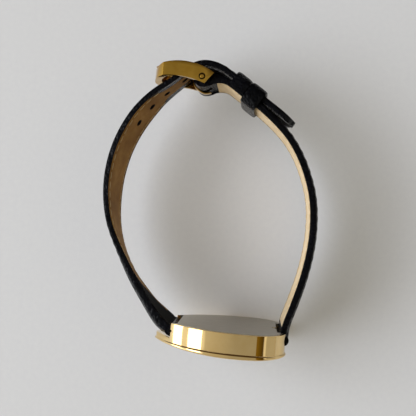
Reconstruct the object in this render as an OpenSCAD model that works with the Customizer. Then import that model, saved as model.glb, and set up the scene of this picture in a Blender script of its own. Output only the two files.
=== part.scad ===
// Wristwatch with a heart-shaped snap-back case on a padded leather strap, shown closed.
// The origin is on the outer face of the case back, midway between the strap slots.
// +X runs from 6 to 12 o'clock, +Y out of the case back, +Z towards 9 o'clock.

/* [Heart outline] */
// Radius of each lobe
lobe_r = 7.4; // [7:0.1:7.8]
// Distance of a lobe's centre from the case's middle, towards 12 o'clock
lobe_x = 5.36; // [4.9:0.1:5.8]
// Distance of a lobe's centre from the line of symmetry
lobe_y = 5.55; // [5.3:0.05:5.8]
// Radius of the bulging side between lobe and tip
side_r = 22; // [21:0.5:24]
// Angle by which the side arc runs past the widest point, in degrees
side_lean = 8; // [6:1:10]
// Radius of the blunt tip
tip_r = 3; // [2.6:0.1:3.6]

/* [Case] */
// Thickness of the case at its middle
case_t = 5.4; // [5.3:0.1:6.4]
// Height of the plain flank below the bezel
flank_h = 3.9; // [3.7:0.1:4]
// How far the bezel stands out past the flank
bezel_lip = 0.3; // [0.1:0.05:0.5]
// Radius of the bezel's rounded edge
bezel_edge = 1; // [0.6:0.1:1.3]
// Radius of the front's lengthwise curve
front_curve_r = 170; // [150:10:400]
// Wall of the case round the movement
case_wall = 1.3; // [1.2:0.05:1.4]
// Width of the metal rim round the case back
back_rim = 0.45; // [0.35:0.05:0.6]
// Thickness of the case back
back_t = 0.6; // [0.5:0.05:0.65]
// Height of the snap rim inside the case back
snap_h = 0.5; // [0.4:0.05:0.55]
// Width of the snap rim
snap_w = 0.5; // [0.4:0.05:0.6]
// Depth of the strap slots from the back
slot_depth = 3.15; // [3.05:0.05:3.3]
// Inner wall of the 6 o'clock strap slot, from the middle
slot_wall_6 = 11.2; // [11:0.1:11.4]
// Inner wall of the 12 o'clock strap slot, from the middle
slot_wall_12 = 10.9; // [10.8:0.05:11]
// Thickness of the wall between a slot and the movement
slot_web = 0.8; // [0.6:0.1:0.9]

/* [Glass and dial] */
// Width of the bezel ring round the crystal, measured in from the flank
bezel_w = 1.1; // [1:0.05:1.3]
// Height of the crystal's flat underside
crystal_z = 4.2; // [4.15:0.05:4.3]
// Width of the sealing ring round the crystal
crystal_seal = 0.2; // [0.15:0.05:0.3]
// Inner edge of the flange that carries the crystal, in from the flank
flange_w = 1.9; // [1.8:0.05:2.1]
// Height of the dial's underside
dial_z = 3; // [2.95:0.01:3.02]
// Thickness of the dial
dial_t = 0.3; // [0.2:0.05:0.4]
// Thickness of the applied hour markers
marker_t = 0.1; // [0.06:0.02:0.12]
// Length of the minute hand from its centre
minute_len = 6.6; // [5.5:0.1:7.2]
// Length of the hour hand from its centre
hour_len = 4.6; // [3.6:0.1:5.2]
// Thickness of each hand
hand_t = 0.12; // [0.1:0.01:0.13]
// Minutes past the hour that the hands show
shown_minute = 9; // [0:1:59]
// Hour that the hands show
shown_hour = 10; // [0:1:11]

/* [Crown] */
// Radius of the crown
crown_r = 1.4; // [1.2:0.1:1.6]
// Length of the crown
crown_len = 1.7; // [1.4:0.1:2.2]
// Number of grip flutes
crown_flutes = 20; // [14:1:24]
// Gap between the pushed-in crown and the flank
crown_gap = 0.15; // [0.1:0.05:0.3]
// Radius of the winding stem
stem_r = 0.3; // [0.26:0.02:0.32]
// Height of the stem's axis from the back
stem_z = 1.65; // [1.6:0.05:1.7]
// Travel from pushed in to setting position
crown_pull = 0.8; // [0.6:0.1:1]

/* [Movement] */
// Radius of the movement
move_r = 8.45; // [8.3:0.05:8.5]
// Place of the dial's centre along the case
centre_x = -0.3; // [-0.4:0.1:-0.1]
// Tooth size of the going train
train_m = 0.1; // [0.09:0.005:0.102]
// Radius of the battery
battery_r = 2.9; // [2.6:0.1:2.95]
// Radius of a plain arbor
arbor_r = 0.17; // [0.14:0.01:0.18]
// Running clearance round arbors and tubes
run_gap = 0.04; // [0.03:0.01:0.06]

/* [Strap] */
// Strap width at the case
strap_w_case = 12.2; // [11.6:0.1:12.4]
// Strap width at the buckle
strap_w_buckle = 10.8; // [10:0.1:11]
// Thickness of the buckle piece
short_t = 2; // [1.7:0.1:2.1]
// Thickness of the holed piece where it is padded, near the case
long_t_case = 2.2; // [1.9:0.1:2.3]
// Thickness of the holed piece past the padding
long_t_mid = 1.5; // [1.35:0.05:1.6]
// Thickness of the tail beyond the buckle
long_t_tail = 1.55; // [1.4:0.05:1.6]
// Thickness of the lining leather
lining_t = 0.4; // [0.3:0.05:0.5]
// Margin of the lining inside the strap's edge
lining_margin = 0.3; // [0.2:0.05:0.5]
// Diameter of the adjustment holes
hole_d = 1.4; // [1.1:0.1:1.6]
// Spacing of the adjustment holes
hole_pitch = 5; // [4.5:0.1:5.4]
// Number of adjustment holes
hole_count = 7; // [5:1:7]
// Radius of the loop that holds a spring bar
lug_loop_r = 1.2; // [1.1:0.05:1.25]
// Radius of the spring bars
lug_bar_r = 0.5; // [0.4:0.05:0.6]

/* [Keepers] */
// Length of each keeper along the strap
keeper_len = 3.9; // [3.2:0.1:4]
// Thickness of the keeper leather
keeper_t = 0.65; // [0.5:0.05:0.8]
// Play between the loose keeper and the strap
keeper_gap = 0.2; // [0.15:0.05:0.3]

/* [Buckle] */
// Radius of the bar that the strap is folded round
bar_r = 0.6; // [0.5:0.05:0.7]
// Outer radius of the leather fold round the bar
fold_r = 2.05; // [1.9:0.05:2.1]
// Width of the buckle frame
buckle_w = 14; // [13.4:0.1:14.6]
// Thickness of each side arm
arm_t = 1; // [0.8:0.1:1.1]
// Distance from the bar to the front of the side arms
arm_reach = 8.8; // [8.6:0.1:9.4]
// How far the front bar bows out past the arms
front_bow = 2.6; // [2:0.1:3]
// Width of the tang
tang_w = 1.5; // [1.2:0.1:1.7]
// Thickness of the tang
tang_t = 0.7; // [0.6:0.05:0.8]

/* [Hidden] */
$fn = 64;

gold = "#d9b45c";
steel = "#a9a7a0";
black_leather = "#1d1f23";
tan_leather = "#b08e5c";
brass = "#c9a24a";
fit = 0.05;

// Heart geometry that follows from the driving radii
side_x = lobe_x - (side_r - lobe_r) * sin(side_lean);
side_y = (side_r - lobe_r) * cos(side_lean) - lobe_y;
tip_x = side_x - sqrt(pow(side_r - tip_r, 2) - pow(side_y, 2));
cleft_x = lobe_x + sqrt(pow(lobe_r, 2) - pow(lobe_y, 2));
heart_half = 16;
function half_width(x) = sqrt(pow(side_r, 2) - pow(x - side_x, 2)) - side_y;

// The case is modelled lying on its back and then stood on its flank
module watch() rotate([90, 0, 0]) children();

// Heart outline drawn inwards by inset; a negative inset draws it larger
module heart(inset = 0) {
  tangent_tip = tip_x - (tip_r - inset) * (side_x - tip_x) / (side_r - tip_r);
  tangent_lobe = lobe_x - (lobe_r - inset) * sin(side_lean);
  for (s = [-1, 1]) translate([lobe_x, s * lobe_y]) circle(lobe_r - inset);
  translate([tip_x, 0]) circle(tip_r - inset);
  intersection() {
    both_sides() circle(side_r - inset, $fn = 128);
    translate([tangent_tip, -heart_half]) square([tangent_lobe - tangent_tip, 2 * heart_half]);
  }
  if (inset > 0) difference() {
    translate([tangent_lobe, -lobe_y]) square([cleft_x - tangent_lobe, 2 * lobe_y]);
    translate([cleft_x, 0]) circle(inset);
  }
}

// The overlap of the two big side arcs
module both_sides() intersection() {
  translate([side_x, -side_y]) children();
  translate([side_x, side_y]) children();
}

// Disc whose upper edge is rounded
module round_disc(r, h, edge) rotate_extrude() {
  square([r, h - edge]);
  square([r - edge, h]);
  translate([r - edge, h - edge]) circle(edge);
}

// Heart-shaped slab whose upper edge is rounded all the way round
module rounded_heart(grow, h, edge) {
  tangent_tip = tip_x - (tip_r + grow) * (side_x - tip_x) / (side_r - tip_r);
  tangent_lobe = lobe_x - (lobe_r + grow - edge) * sin(side_lean);
  for (s = [-1, 1]) translate([lobe_x, s * lobe_y, 0]) round_disc(lobe_r + grow, h, edge);
  translate([tip_x, 0, 0]) round_disc(tip_r + grow, h, edge);
  intersection() {
    both_sides() round_disc(side_r + grow, h, edge);
    translate([tangent_tip, -heart_half, 0]) cube([tangent_lobe - tangent_tip, 2 * heart_half, h]);
  }
}

// Everything behind the lengthwise curve of the front, lowered by drop
module behind_front(drop = 0) translate([0, 0, case_t - drop - front_curve_r])
  rotate([90, 0, 0]) cylinder(r = front_curve_r, h = 3 * heart_half, center = true, $fn = 256);

// Space inside the case, or a piece that fits it with play on every side
module cavity(play = 0) intersection() {
  heart(case_wall + play);
  translate([slot_web - slot_wall_6 + play, -heart_half])
    square([slot_wall_6 + slot_wall_12 - 2 * slot_web - 2 * play, 2 * heart_half]);
}

slot_half = strap_w_case / 2 + 0.15;
lug_6 = [-12.65, 1.75];
lug_12 = [12.3, 1.7];
lug_pin_depth = 0.4;

// Strap slots, open to the back and to both ends
module strap_slots(play = 0) {
  translate([-2 * heart_half, -slot_half - play, -1])
    cube([2 * heart_half - slot_wall_6 + play, 2 * (slot_half + play), slot_depth + 1]);
  translate([slot_wall_12 - play, -slot_half - play, -1])
    cube([heart_half, 2 * (slot_half + play), slot_depth + 1]);
}

// Along the stem, from the middle towards 3 o'clock
module along_stem(y) translate([centre_x, y, stem_z]) rotate([90, 0, 0]) children();

flank_3 = -half_width(centre_x);
tube_r = 0.75;

// Gold-plated case: flank, bezel and the strap slots, in one piece
module case_body() color(gold) watch() difference() {
  intersection() {
    union() {
      translate([0, 0, fit]) linear_extrude(flank_h) heart();
      translate([0, 0, flank_h]) rounded_heart(bezel_lip, case_t + fit - flank_h, bezel_edge);
    }
    behind_front();
  }
  translate([0, 0, -1]) linear_extrude(back_t + 1) heart(back_rim);
  linear_extrude(dial_z + dial_t) cavity();
  linear_extrude(case_t) heart(flange_w);
  translate([0, 0, crystal_z]) linear_extrude(case_t) heart(bezel_w);
  strap_slots();
  along_stem(0) cylinder(r = tube_r, h = -flank_3 + 2);
  for (lug = [lug_6, lug_12]) translate([lug[0], 0, lug[1]]) rotate([90, 0, 0])
    cylinder(r = lug_bar_r / 2 + 0.02, h = 2 * (slot_half + lug_pin_depth + 0.1), center = true);
}

// Snap-on steel back with the rim that grips the case
module case_back() color(steel) watch() difference() {
  union() {
    linear_extrude(back_t) heart(back_rim + fit);
    translate([0, 0, back_t]) linear_extrude(snap_h) difference() {
      cavity(fit);
      cavity(fit + snap_w);
    }
  }
  translate([0, 0, back_t]) linear_extrude(snap_h / 2) difference() {
    cavity(0);
    cavity(fit + snap_w / 2);
  }
  strap_slots(fit);
  along_stem(0) cylinder(r = stem_r + 0.15, h = 3 * heart_half);
}

// Sealing ring in the groove of the snap rim
module back_gasket() color("#2b2b2b") watch() difference() {
  translate([0, 0, back_t + 0.02]) linear_extrude(snap_h / 2 - 0.04) difference() {
    cavity(fit);
    cavity(fit + snap_w / 2 - 0.02);
  }
  along_stem(0) cylinder(r = stem_r + 0.15, h = 3 * heart_half);
}

// Heart-shaped mineral glass with a flat underside
module crystal() color("#dfe9ee", 0.35) watch() intersection() {
  translate([0, 0, crystal_z]) linear_extrude(case_t) heart(bezel_w + crystal_seal);
  behind_front(0.03);
}

seal_h = 0.4;
seal_joint = 0.1;

// Thin ring between the glass and the bezel, joined on both sides of the cleft
module crystal_gasket() color("#e8e4d8") watch() translate([0, 0, crystal_z]) {
  linear_extrude(seal_h) difference() {
    heart(bezel_w);
    heart(bezel_w + crystal_seal);
  }
  for (s = [-1, 1]) translate([cleft_x, 0, 0]) rotate(s * atan2(lobe_y, lobe_x - cleft_x))
    translate([bezel_w, -seal_joint / 2, 0]) cube([crystal_seal, seal_joint, seal_h]);
}

hour_tube_r = 0.66;
cannon_r = 0.4;

// Heart-shaped dial with twelve applied markers
module dial() color("#efece2") watch() {
  translate([0, 0, dial_z]) difference() {
    linear_extrude(dial_t) cavity(fit);
    translate([centre_x, 0, -1]) cylinder(r = hour_tube_r + 0.15, h = dial_t + 2);
  }
  translate([centre_x, 0, dial_z + dial_t]) for (i = [0 : 11]) rotate(30 * i)
    translate([i % 3 == 0 ? 6.1 : 6.5, -0.2, 0]) cube([i % 3 == 0 ? 1.4 : 0.9, 0.4, marker_t]);
}

// Plastic ring that centres the movement in the heart-shaped cavity
module movement_ring() color("#d8d6cf") watch() difference() {
  translate([0, 0, back_t + snap_h + fit]) linear_extrude(dial_z - back_t - snap_h - fit) difference() {
    cavity(fit);
    translate([centre_x, 0]) circle(move_r + fit);
  }
  along_stem(0) cylinder(r = stem_r + 0.15, h = 3 * heart_half);
}

// Sleeve that lines the stem's hole through the flank
module crown_tube() color(brass) watch() difference() {
  along_stem(flank_3 + case_wall) cylinder(r = tube_r - 0.01, h = case_wall + crown_gap + 0.4);
  along_stem(0) cylinder(r = stem_r + run_gap, h = 3 * heart_half);
}

// Spring bar with a shoulder and a thin pin at each end
module spring_bar(body_r, body_len, pin_r, pin_len) {
  cylinder(r = body_r, h = body_len, center = true);
  cylinder(r = pin_r, h = body_len + 2 * pin_len, center = true);
}

module lug_spring_bars() color(steel) for (lug = [lug_6, lug_12]) translate([lug[0], -lug[1], 0])
  spring_bar(lug_bar_r, 2 * slot_half - 0.1, lug_bar_r / 2, lug_pin_depth);

// Heights in the movement, from the back
plate_z = 1.95;
plate_t = 0.35;
bridge_z = 0.75;
bridge_t = 0.25;
plate_top = plate_z + plate_t;
level_step = 1.1;
level_third = 1.38;
level_centre = 1.68;
wheel_t = 0.12;

// Tooth counts of the train and of the motion work
n_rotor = 8;
n_step = 40;
n_step_pinion = 10;
n_third = 40;
n_third_pinion = 10;
n_centre = 45;
n_cannon = 12;
n_minute = 36;
n_minute_pinion = 10;
n_hour = 40;

// Where the axes lie, each at its meshing distance from the one it drives
function polar(d, a) = [d * cos(a), d * sin(a)];
function reach(m, a, b) = m * (a + b) / 2;
third_angle = 60;
step_angle = 150;
rotor_angle = 190;
minute_angle = 235;
third_at = polar(reach(train_m, n_centre, n_third_pinion), third_angle);
step_at = third_at + polar(reach(train_m, n_third, n_step_pinion), step_angle);
rotor_at = step_at + polar(reach(train_m, n_step, n_rotor), rotor_angle);
minute_at = polar(reach(train_m, n_cannon, n_minute), minute_angle);
hour_m = train_m * (n_cannon + n_minute) / (n_hour + n_minute_pinion);

// Angle at which a wheel meshes with the wheel that it meets in direction a
function mesh(a, other_turn, n_other, n) = a + 180 + 180 / n - (other_turn - a) * n_other / n;
third_turn = mesh(third_angle, 0, n_centre, n_third_pinion);
step_turn = mesh(step_angle, third_turn, n_third, n_step_pinion);
rotor_turn = mesh(rotor_angle, step_turn, n_step, n_rotor);
minute_turn = mesh(minute_angle, 0, n_cannon, n_minute);
hour_turn = mesh(minute_angle + 180, minute_turn, n_minute_pinion, n_hour);

// Toothed disc, with a tooth centred on the angle turn
module gear(n, m, h, turn = 0, bore = 0) {
  r = n * m / 2;
  a = 360 / n;
  linear_extrude(h) difference() {
    rotate(turn) polygon([for (i = [0 : n - 1], p = [[-0.36, -1.15], [-0.2, 0], [-0.09, 0.75], [0.09, 0.75],
      [0.2, 0], [0.36, -1.15]]) (r + p[1] * m) * [cos((i + p[0]) * a), sin((i + p[0]) * a)]]);
    circle(bore);
  }
}

// Wheel with three cut-outs between its spokes
module spoked_wheel(n, m, turn) difference() {
  gear(n, m, wheel_t, turn);
  for (i = [0 : 2]) rotate(120 * i + 30) translate([0, 0, -1]) linear_extrude(wheel_t + 2)
    difference() {
      circle(n * m / 2 - 4.5 * m);
      circle(n * m / 7);
      rotate(60) translate([-n * m, -n * m]) square([2 * n * m, n * m + 0.2]);
      rotate(-60) translate([-n * m, -0.2]) square([2 * n * m, n * m + 0.2]);
    }
}

// Places its children on one of the movement's axes
module at(p) translate([centre_x + p[0], p[1], 0]) children();

// Threaded or plain holes for an arbor
module arbor_hole(p, z, h) at(p) translate([0, 0, z - 1]) cylinder(r = arbor_r + run_gap, h = h + 2);

pillars = [[-3.6, 0.5], [1.5, 5.6], [3.9, 0.4]];
pillar_r = 0.5;
screw_r = 0.2;
lever_arm = 2.2;
lever_grip = [-(stem_r + 0.06), -6.2];
lever_swing = asin(crown_pull / 2 / lever_arm);
lever_at = lever_grip - lever_arm * [cos(lever_swing), sin(lever_swing)];
lever_z = 0.85;
lever_t = 0.2;
pinion_y = -3.9;
pinion_len = 1;
pinion_r = 0.55;

// Main plate with its pillars, arbor holes and the channel for the stem
module main_plate() color(brass) watch() difference() {
  union() {
    translate([centre_x, 0, plate_z]) cylinder(r = move_r, h = plate_t);
    for (p = pillars) at(p) translate([0, 0, bridge_z + bridge_t])
      cylinder(r = pillar_r, h = plate_z - bridge_z - bridge_t);
    at(lever_at) translate([0, 0, lever_z - 0.05]) cylinder(r = 0.3, h = plate_z - lever_z + 0.05);
  }
  at([0, 0]) cylinder(r = cannon_r + run_gap, h = 2 * plate_z);
  for (p = [third_at, step_at, rotor_at, minute_at]) arbor_hole(p, plate_z, plate_t);
  for (p = pillars) at(p) cylinder(r = screw_r + 0.02, h = plate_z - 0.2);
  along_stem(pinion_y + fit) cylinder(r = stem_r + 0.1, h = 2 * move_r);
  translate([centre_x - pinion_r - 0.1, pinion_y - pinion_len - 0.1, 0])
    cube([2 * pinion_r + 0.2, pinion_len + 0.2, 2 * plate_z]);
}

// Bridge that holds the back ends of the train's arbors
module train_bridge() color(brass) watch() difference() {
  union() {
    translate([centre_x, 0, bridge_z]) linear_extrude(bridge_t) polygon([[-4.3, 0], [-4.1, 3.8], [-0.8, 5.2],
      [1.2, 6.3], [2.3, 5.6], [4.5, 0.7], [4.2, -0.2], [0.8, -0.9], [-0.8, -0.9]]);
    for (p = concat(pillars, [rotor_at])) at(p) translate([0, 0, bridge_z]) cylinder(r = 0.7, h = bridge_t);
  }
  for (p = [[0, 0], third_at, step_at, rotor_at]) arbor_hole(p, bridge_z, bridge_t);
  for (p = pillars) at(p) cylinder(r = screw_r + 0.02, h = 2);
}

// Three screws through the bridge into the pillars
module bridge_screws() color(steel) watch() for (p = pillars) at(p) {
  difference() {
    translate([0, 0, bridge_z - 0.12]) cylinder(r = 0.42, h = 0.12);
    translate([-0.5, -0.05, bridge_z - 0.13]) cube([1, 0.1, 0.06]);
  }
  translate([0, 0, bridge_z - 0.01]) cylinder(r = screw_r, h = 0.8);
}

battery_at = [3.95, -3.6];
battery_h = 1.2;
battery_z = plate_z - fit - battery_h;

// Silver-oxide button cell with its stepped negative side
module battery() color(steel) watch() at(battery_at) {
  translate([0, 0, battery_z + 0.15]) cylinder(r = battery_r, h = battery_h - 0.15);
  translate([0, 0, battery_z]) cylinder(r = battery_r - 0.35, h = 0.2);
}

// Spring clip beside the cell, standing on the main plate
module battery_clip() color("#c8b070") watch() at(battery_at) intersection() {
  difference() {
    translate([0, 0, battery_z]) cylinder(r = battery_r + 0.3, h = battery_h + fit);
    translate([0, 0, battery_z - 1]) cylinder(r = battery_r + 0.1, h = battery_h + 2);
  }
  rotate(40) translate([1.8, -1.3, 0]) cube([4, 2.6, 3]);
}

board_z = 1.75;
board_r = 8.2;
board_corner = [4.7, 0.2];
board_size = [4, 6];

// Circuit board with its sealed chip, in the free corner of the plate
module circuit_board() color("#2f5d46") watch() translate([centre_x, 0, 0]) {
  translate([0, 0, board_z]) linear_extrude(0.18) intersection() {
    circle(board_r);
    translate(board_corner) square(board_size);
  }
  translate([6.9, 1.1, board_z - 0.45]) cylinder(r = 0.8, h = 0.45);
}

can_r = 0.45;

// Tuning-fork quartz in its metal can, lying on the board
module quartz_can() color(steel) watch() at([5.7, 1.9]) translate([0, 0, board_z - can_r - 0.01])
  rotate([-90, 0, 0]) cylinder(r = can_r, h = 3.2);

coil_at = [-6.1, 0];
coil_len = 6;
coil_r = 0.58;
core = 0.5;
core_z = 1.3;

// Fine copper winding round the iron core
module coil() color("#b4622e") watch() at(coil_at) translate([0, 0, core_z]) rotate([90, 0, 0]) difference() {
  union() {
    cylinder(r = coil_r, h = coil_len, center = true);
    for (s = [-1, 1]) translate([0, 0, s * (coil_len / 2 - 0.1)])
      cylinder(r = coil_r + 0.05, h = 0.2, center = true);
  }
  cube([core + 0.04, core + 0.04, coil_len + 2], center = true);
}

rotor_hole = 0.78;

// Iron core of the coil and the stator plate round the rotor
module stator() color("#8f9196") watch() difference() {
  union() {
    at(coil_at) translate([0, 0, core_z]) cube([core, coil_len + 2, core], center = true);
    translate([centre_x, 0, core_z + core / 2]) linear_extrude(plate_z - core_z - core / 2) union() {
      translate([coil_at[0] - 0.5, coil_len / 2 + 0.2]) square([1, 0.8]);
      translate([coil_at[0] - 0.5, -coil_len / 2 - 1]) square([1, 0.8]);
      polygon([[coil_at[0] - 0.5, coil_len / 2 + 0.2], [rotor_at[0], rotor_at[1] - 1],
        [rotor_at[0], rotor_at[1] + 1.1], [coil_at[0] - 0.3, coil_len / 2 + 1]]);
      translate(rotor_at) circle(1.1);
    }
  }
  at(rotor_at) cylinder(r = rotor_hole, h = 4);
}

// Arbor that runs in the bridge and the main plate
module arbor() translate([0, 0, bridge_z + 0.02]) cylinder(r = arbor_r, h = plate_top - bridge_z - 0.04);

// Magnet rotor with its pinion
module rotor() color("#77797e") watch() at(rotor_at) {
  arbor();
  translate([0, 0, level_step - 0.06]) gear(n_rotor, train_m, 0.24, rotor_turn);
  translate([0, 0, level_third + 0.02]) cylinder(r = 0.55, h = 0.5);
}

// Step wheel driven by the rotor, with the pinion that drives the third wheel
module step_wheel() color(brass) watch() at(step_at) {
  arbor();
  translate([0, 0, level_step]) spoked_wheel(n_step, train_m, step_turn);
  translate([0, 0, level_step + wheel_t - 0.01]) gear(n_step_pinion, train_m, 0.34, step_turn);
}

// Third wheel, with the pinion that drives the centre wheel
module third_wheel() color(brass) watch() at(third_at) {
  arbor();
  translate([0, 0, level_third]) spoked_wheel(n_third, train_m, third_turn);
  translate([0, 0, level_third + wheel_t - 0.01]) gear(n_third_pinion, train_m, 0.36, third_turn);
}

minute_hand_z = 3.78;
hour_hand_z = 3.5;

// Centre wheel and cannon pinion, which turn once an hour
module centre_wheel() color(brass) watch() at([0, 0]) {
  translate([0, 0, bridge_z + 0.02]) cylinder(r = arbor_r, h = 1);
  translate([0, 0, level_centre]) spoked_wheel(n_centre, train_m, 0);
  translate([0, 0, level_centre + wheel_t - 0.01])
    cylinder(r = cannon_r, h = minute_hand_z + hand_t - level_centre - wheel_t);
  translate([0, 0, plate_top + 0.05]) gear(n_cannon, train_m, 0.18, 0);
}

// Minute wheel and its pinion, under the dial
module minute_wheel() color(brass) watch() at(minute_at) {
  translate([0, 0, plate_z]) cylinder(r = arbor_r, h = plate_t + 0.1);
  translate([0, 0, plate_top + 0.05]) gear(n_minute, train_m, 0.18, minute_turn);
  translate([0, 0, plate_top + 0.22]) gear(n_minute_pinion, hour_m, 0.3, minute_turn);
}

// Hour wheel, whose tube runs on the cannon pinion
module hour_wheel() color(brass) watch() at([0, 0]) {
  translate([0, 0, plate_top + 0.3]) gear(n_hour, hour_m, wheel_t, hour_turn, cannon_r + run_gap);
  translate([0, 0, plate_top + 0.3]) difference() {
    cylinder(r = hour_tube_r, h = hour_hand_z + hand_t - plate_top - 0.3);
    translate([0, 0, -1]) cylinder(r = cannon_r + run_gap, h = 4);
  }
}

// Tapered hand with a ring that sits on its tube
module hand(len, width, ring, bore, angle) rotate(angle) linear_extrude(hand_t) difference() {
  union() {
    circle(ring);
    polygon([[-len * 0.22, -width / 4], [0, -width / 3], [len * 0.25, -width * 0.7], [len, -0.06],
      [len, 0.06], [len * 0.25, width * 0.7], [0, width / 3], [-len * 0.22, width / 4]]);
  }
  circle(bore);
}

module hour_hand() color(gold) watch() at([0, 0]) translate([0, 0, hour_hand_z])
  hand(hour_len, 0.7, hour_tube_r + 0.3, hour_tube_r + 0.01, -30 * (shown_hour + shown_minute / 60));

module minute_hand() color(gold) watch() at([0, 0]) translate([0, 0, minute_hand_z])
  hand(minute_len, 0.55, cannon_r + 0.3, cannon_r + 0.01, -6 * shown_minute);

// Setting lever, whose pin sits in the stem's groove
module setting_lever() color(steel) watch() difference() {
  translate([centre_x, 0, lever_z]) {
    linear_extrude(lever_t) union() {
      translate(lever_at) circle(0.65);
      translate(lever_grip) circle(0.28);
      translate(lever_at) rotate(lever_swing) translate([0, -0.25]) square([lever_arm, 0.5]);
    }
    translate([lever_grip[0], lever_grip[1], 0]) cylinder(r = 0.12, h = stem_z + 0.1 - lever_z);
  }
  at(lever_at) cylinder(r = 0.3 + run_gap, h = 3);
}

// Pinion that slides on the square of the stem and turns with it
module sliding_pinion() color(steel) watch() difference() {
  along_stem(pinion_y) gear(14, 0.07, pinion_len);
  translate([centre_x, pinion_y - pinion_len / 2, stem_z]) cube([0.44, pinion_len + 2, 0.44], center = true);
}

square_side = 0.38;
groove_len = 0.34;

// Winding stem: square end, groove for the lever, shaft out to the crown
module stem() color(steel) watch() difference() {
  union() {
    translate([centre_x - square_side / 2, -5.3, stem_z - square_side / 2])
      cube([square_side, 1.9, square_side]);
    along_stem(-5.25) cylinder(r = stem_r, h = -flank_3 + crown_gap + 1 - 5.25);
  }
  along_stem(lever_grip[1] + groove_len / 2) difference() {
    cylinder(r = stem_r + 1, h = groove_len);
    translate([0, 0, -1]) cylinder(r = stem_r - 0.12, h = groove_len + 2);
  }
}

// Fluted crown with a hollow that goes over the tube
module crown() color(gold) watch() along_stem(flank_3 - crown_gap) difference() {
  union() {
    cylinder(r = crown_r - 0.15, h = 0.2);
    translate([0, 0, 0.15]) cylinder(r = crown_r, h = crown_len - 0.35);
    translate([0, 0, crown_len - 0.21]) cylinder(r1 = crown_r - 0.02, r2 = crown_r - 0.3, h = 0.21);
  }
  for (i = [0 : crown_flutes - 1]) rotate(360 * i / crown_flutes) translate([crown_r + 0.05, 0, 0.15])
    cylinder(r = 0.14, h = crown_len, $fn = 24);
  translate([0, 0, -1]) cylinder(r = tube_r + fit, h = 1.5);
  translate([0, 0, -1]) cylinder(r = stem_r + 0.01, h = 2.01);
}

// Direction and start of the straight stretch where the tail lies on the buckle piece
tail_angle = -34.5;
tail_at = [-2.2, 56.4];
tail_len = 16.8;
layer_gap = 0.15;
function tail_point(d, depth) = tail_at + d * [cos(tail_angle), sin(tail_angle)]
  - depth * [-sin(tail_angle), cos(tail_angle)];

bar_at = [-9.93, 54.93];
short_depth = long_t_tail + layer_gap;

// Outer faces of the two strap pieces, from the case round to the buckle
long_route = [[-12.85, -2.95], [-14.6, -2.5], [-16.7, -1], [-19.66, 2.54], [-23.9, 8.45], [-27.1, 14.7],
  [-29.3, 20.8], [-30.15, 26.96], [-29.9, 33.07], [-28.43, 39.34], [-25.66, 45.35], [-21.7, 50.7],
  [-17.1, 54.9], [-13.5, 57.9],
  [-9.8, 59.25], [-6, 58.6], tail_point(0, 0), tail_point(5, 0), tail_point(10.5, 0),
  tail_point(tail_len, 0)];
short_route = [[lug_12[0] + lug_loop_r, -1.9], [13.8, 1.2], [15.2, 5.9], [16.7, 11.5], [17.75, 17.4],
  [18.1, 23], [17.7, 28.6], [16.5, 33.5], [14.3, 38.75], [11.6, 43.05], [8.5, 46.4], tail_point(9.5, short_depth),
  tail_point(5, short_depth), tail_point(0, short_depth), [-6.6, 56.55],
  [bar_at[0], bar_at[1] + fold_r]];

// Smooth curve through a route's points: place, then direction, at t along stretch i
function knots(p, i) = [p[max(i - 1, 0)], p[i], p[i + 1], p[min(i + 2, len(p) - 1)]];
function curve(k, t) = 0.5 * (2 * k[1] + (k[2] - k[0]) * t + (2 * k[0] - 5 * k[1] + 4 * k[2] - k[3]) * t * t
  + (3 * k[1] - k[0] - 3 * k[2] + k[3]) * t * t * t);
function heading(k, t) = 0.5 * ((k[2] - k[0]) + 2 * (2 * k[0] - 5 * k[1] + 4 * k[2] - k[3]) * t
  + 3 * (3 * k[1] - k[0] - 3 * k[2] + k[3]) * t * t);
steps = 3;
function stations(p) = [for (i = [0 : len(p) - 2], j = [0 : steps - 1]) [i, j / steps], [len(p) - 2, 1]];

// Points along a route and the unit normals that point into the wrist's space
function places(p) = [for (s = stations(p)) curve(knots(p, s[0]), s[1])];
function inward(p, side) = [for (s = stations(p)) let (h = heading(knots(p, s[0]), s[1]))
  side * [h[1], -h[0]] / norm(h)];
function gap_after(q, i) = i + 1 < len(q) ? norm(q[i + 1] - q[i]) : 0;
function run(q) = [for (i = 0, s = 0; i < len(q); s = s + gap_after(q, i), i = i + 1) s];
function ramp(x) = let (c = max(0, min(1, x))) c * c * (3 - 2 * c);
function mix(a, b, x) = a + (b - a) * x;

long_at = places(long_route);
long_in = inward(long_route, 1);
long_run = run(long_at);
long_len = long_run[len(long_run) - 1];
short_at = places(short_route);
short_in = inward(short_route, -1);
short_run = run(short_at);
short_len = short_run[len(short_run) - 1];

// Thickness and half width of each piece at a distance s from the case
pad_from = 9;
pad_to = 26;
tail_from = 68.9;
tip_len = 5;
lug_swell = 0.6;
lug_fold_w = strap_w_case - 0.1;
function long_body(s) = mix(long_t_case, long_t_mid, ramp((s - pad_from) / (pad_to - pad_from)))
  + lug_swell * (1 - ramp((s - 4) / 6));
function long_thick(s) = mix(long_body(s), long_t_tail, ramp((s - tail_from) / 8))
  * mix(0.85, 1, ramp(s / 3)) * mix(0.7, 1, ramp((long_len - s) / 1.5));
function tip_share(s) = let (d = max(0, s - long_len + tip_len) / tip_len) sqrt(max(0.08, 1 - d * d));
function long_half(s) = mix(strap_w_case, strap_w_buckle, ramp(s / 75)) / 2 * tip_share(s);
fold_len = 7;
short_t_end = short_t - 0.2;
function short_thick(s) = mix(mix(short_t, short_t_end, ramp(s / 50)), 2 * fold_r,
  ramp((s - short_len + fold_len) / fold_len));
function short_half(s) = mix(strap_w_case, strap_w_buckle, ramp(s / 65)) / 2;

// How far the edges lie below the middle, as a share of the thickness
function long_crown(s) = mix(0.38, 0.2, ramp((s - pad_from) / (pad_to - pad_from)));
function short_crown(s) = mix(0.38, 0.25, ramp(s / 20));

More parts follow.
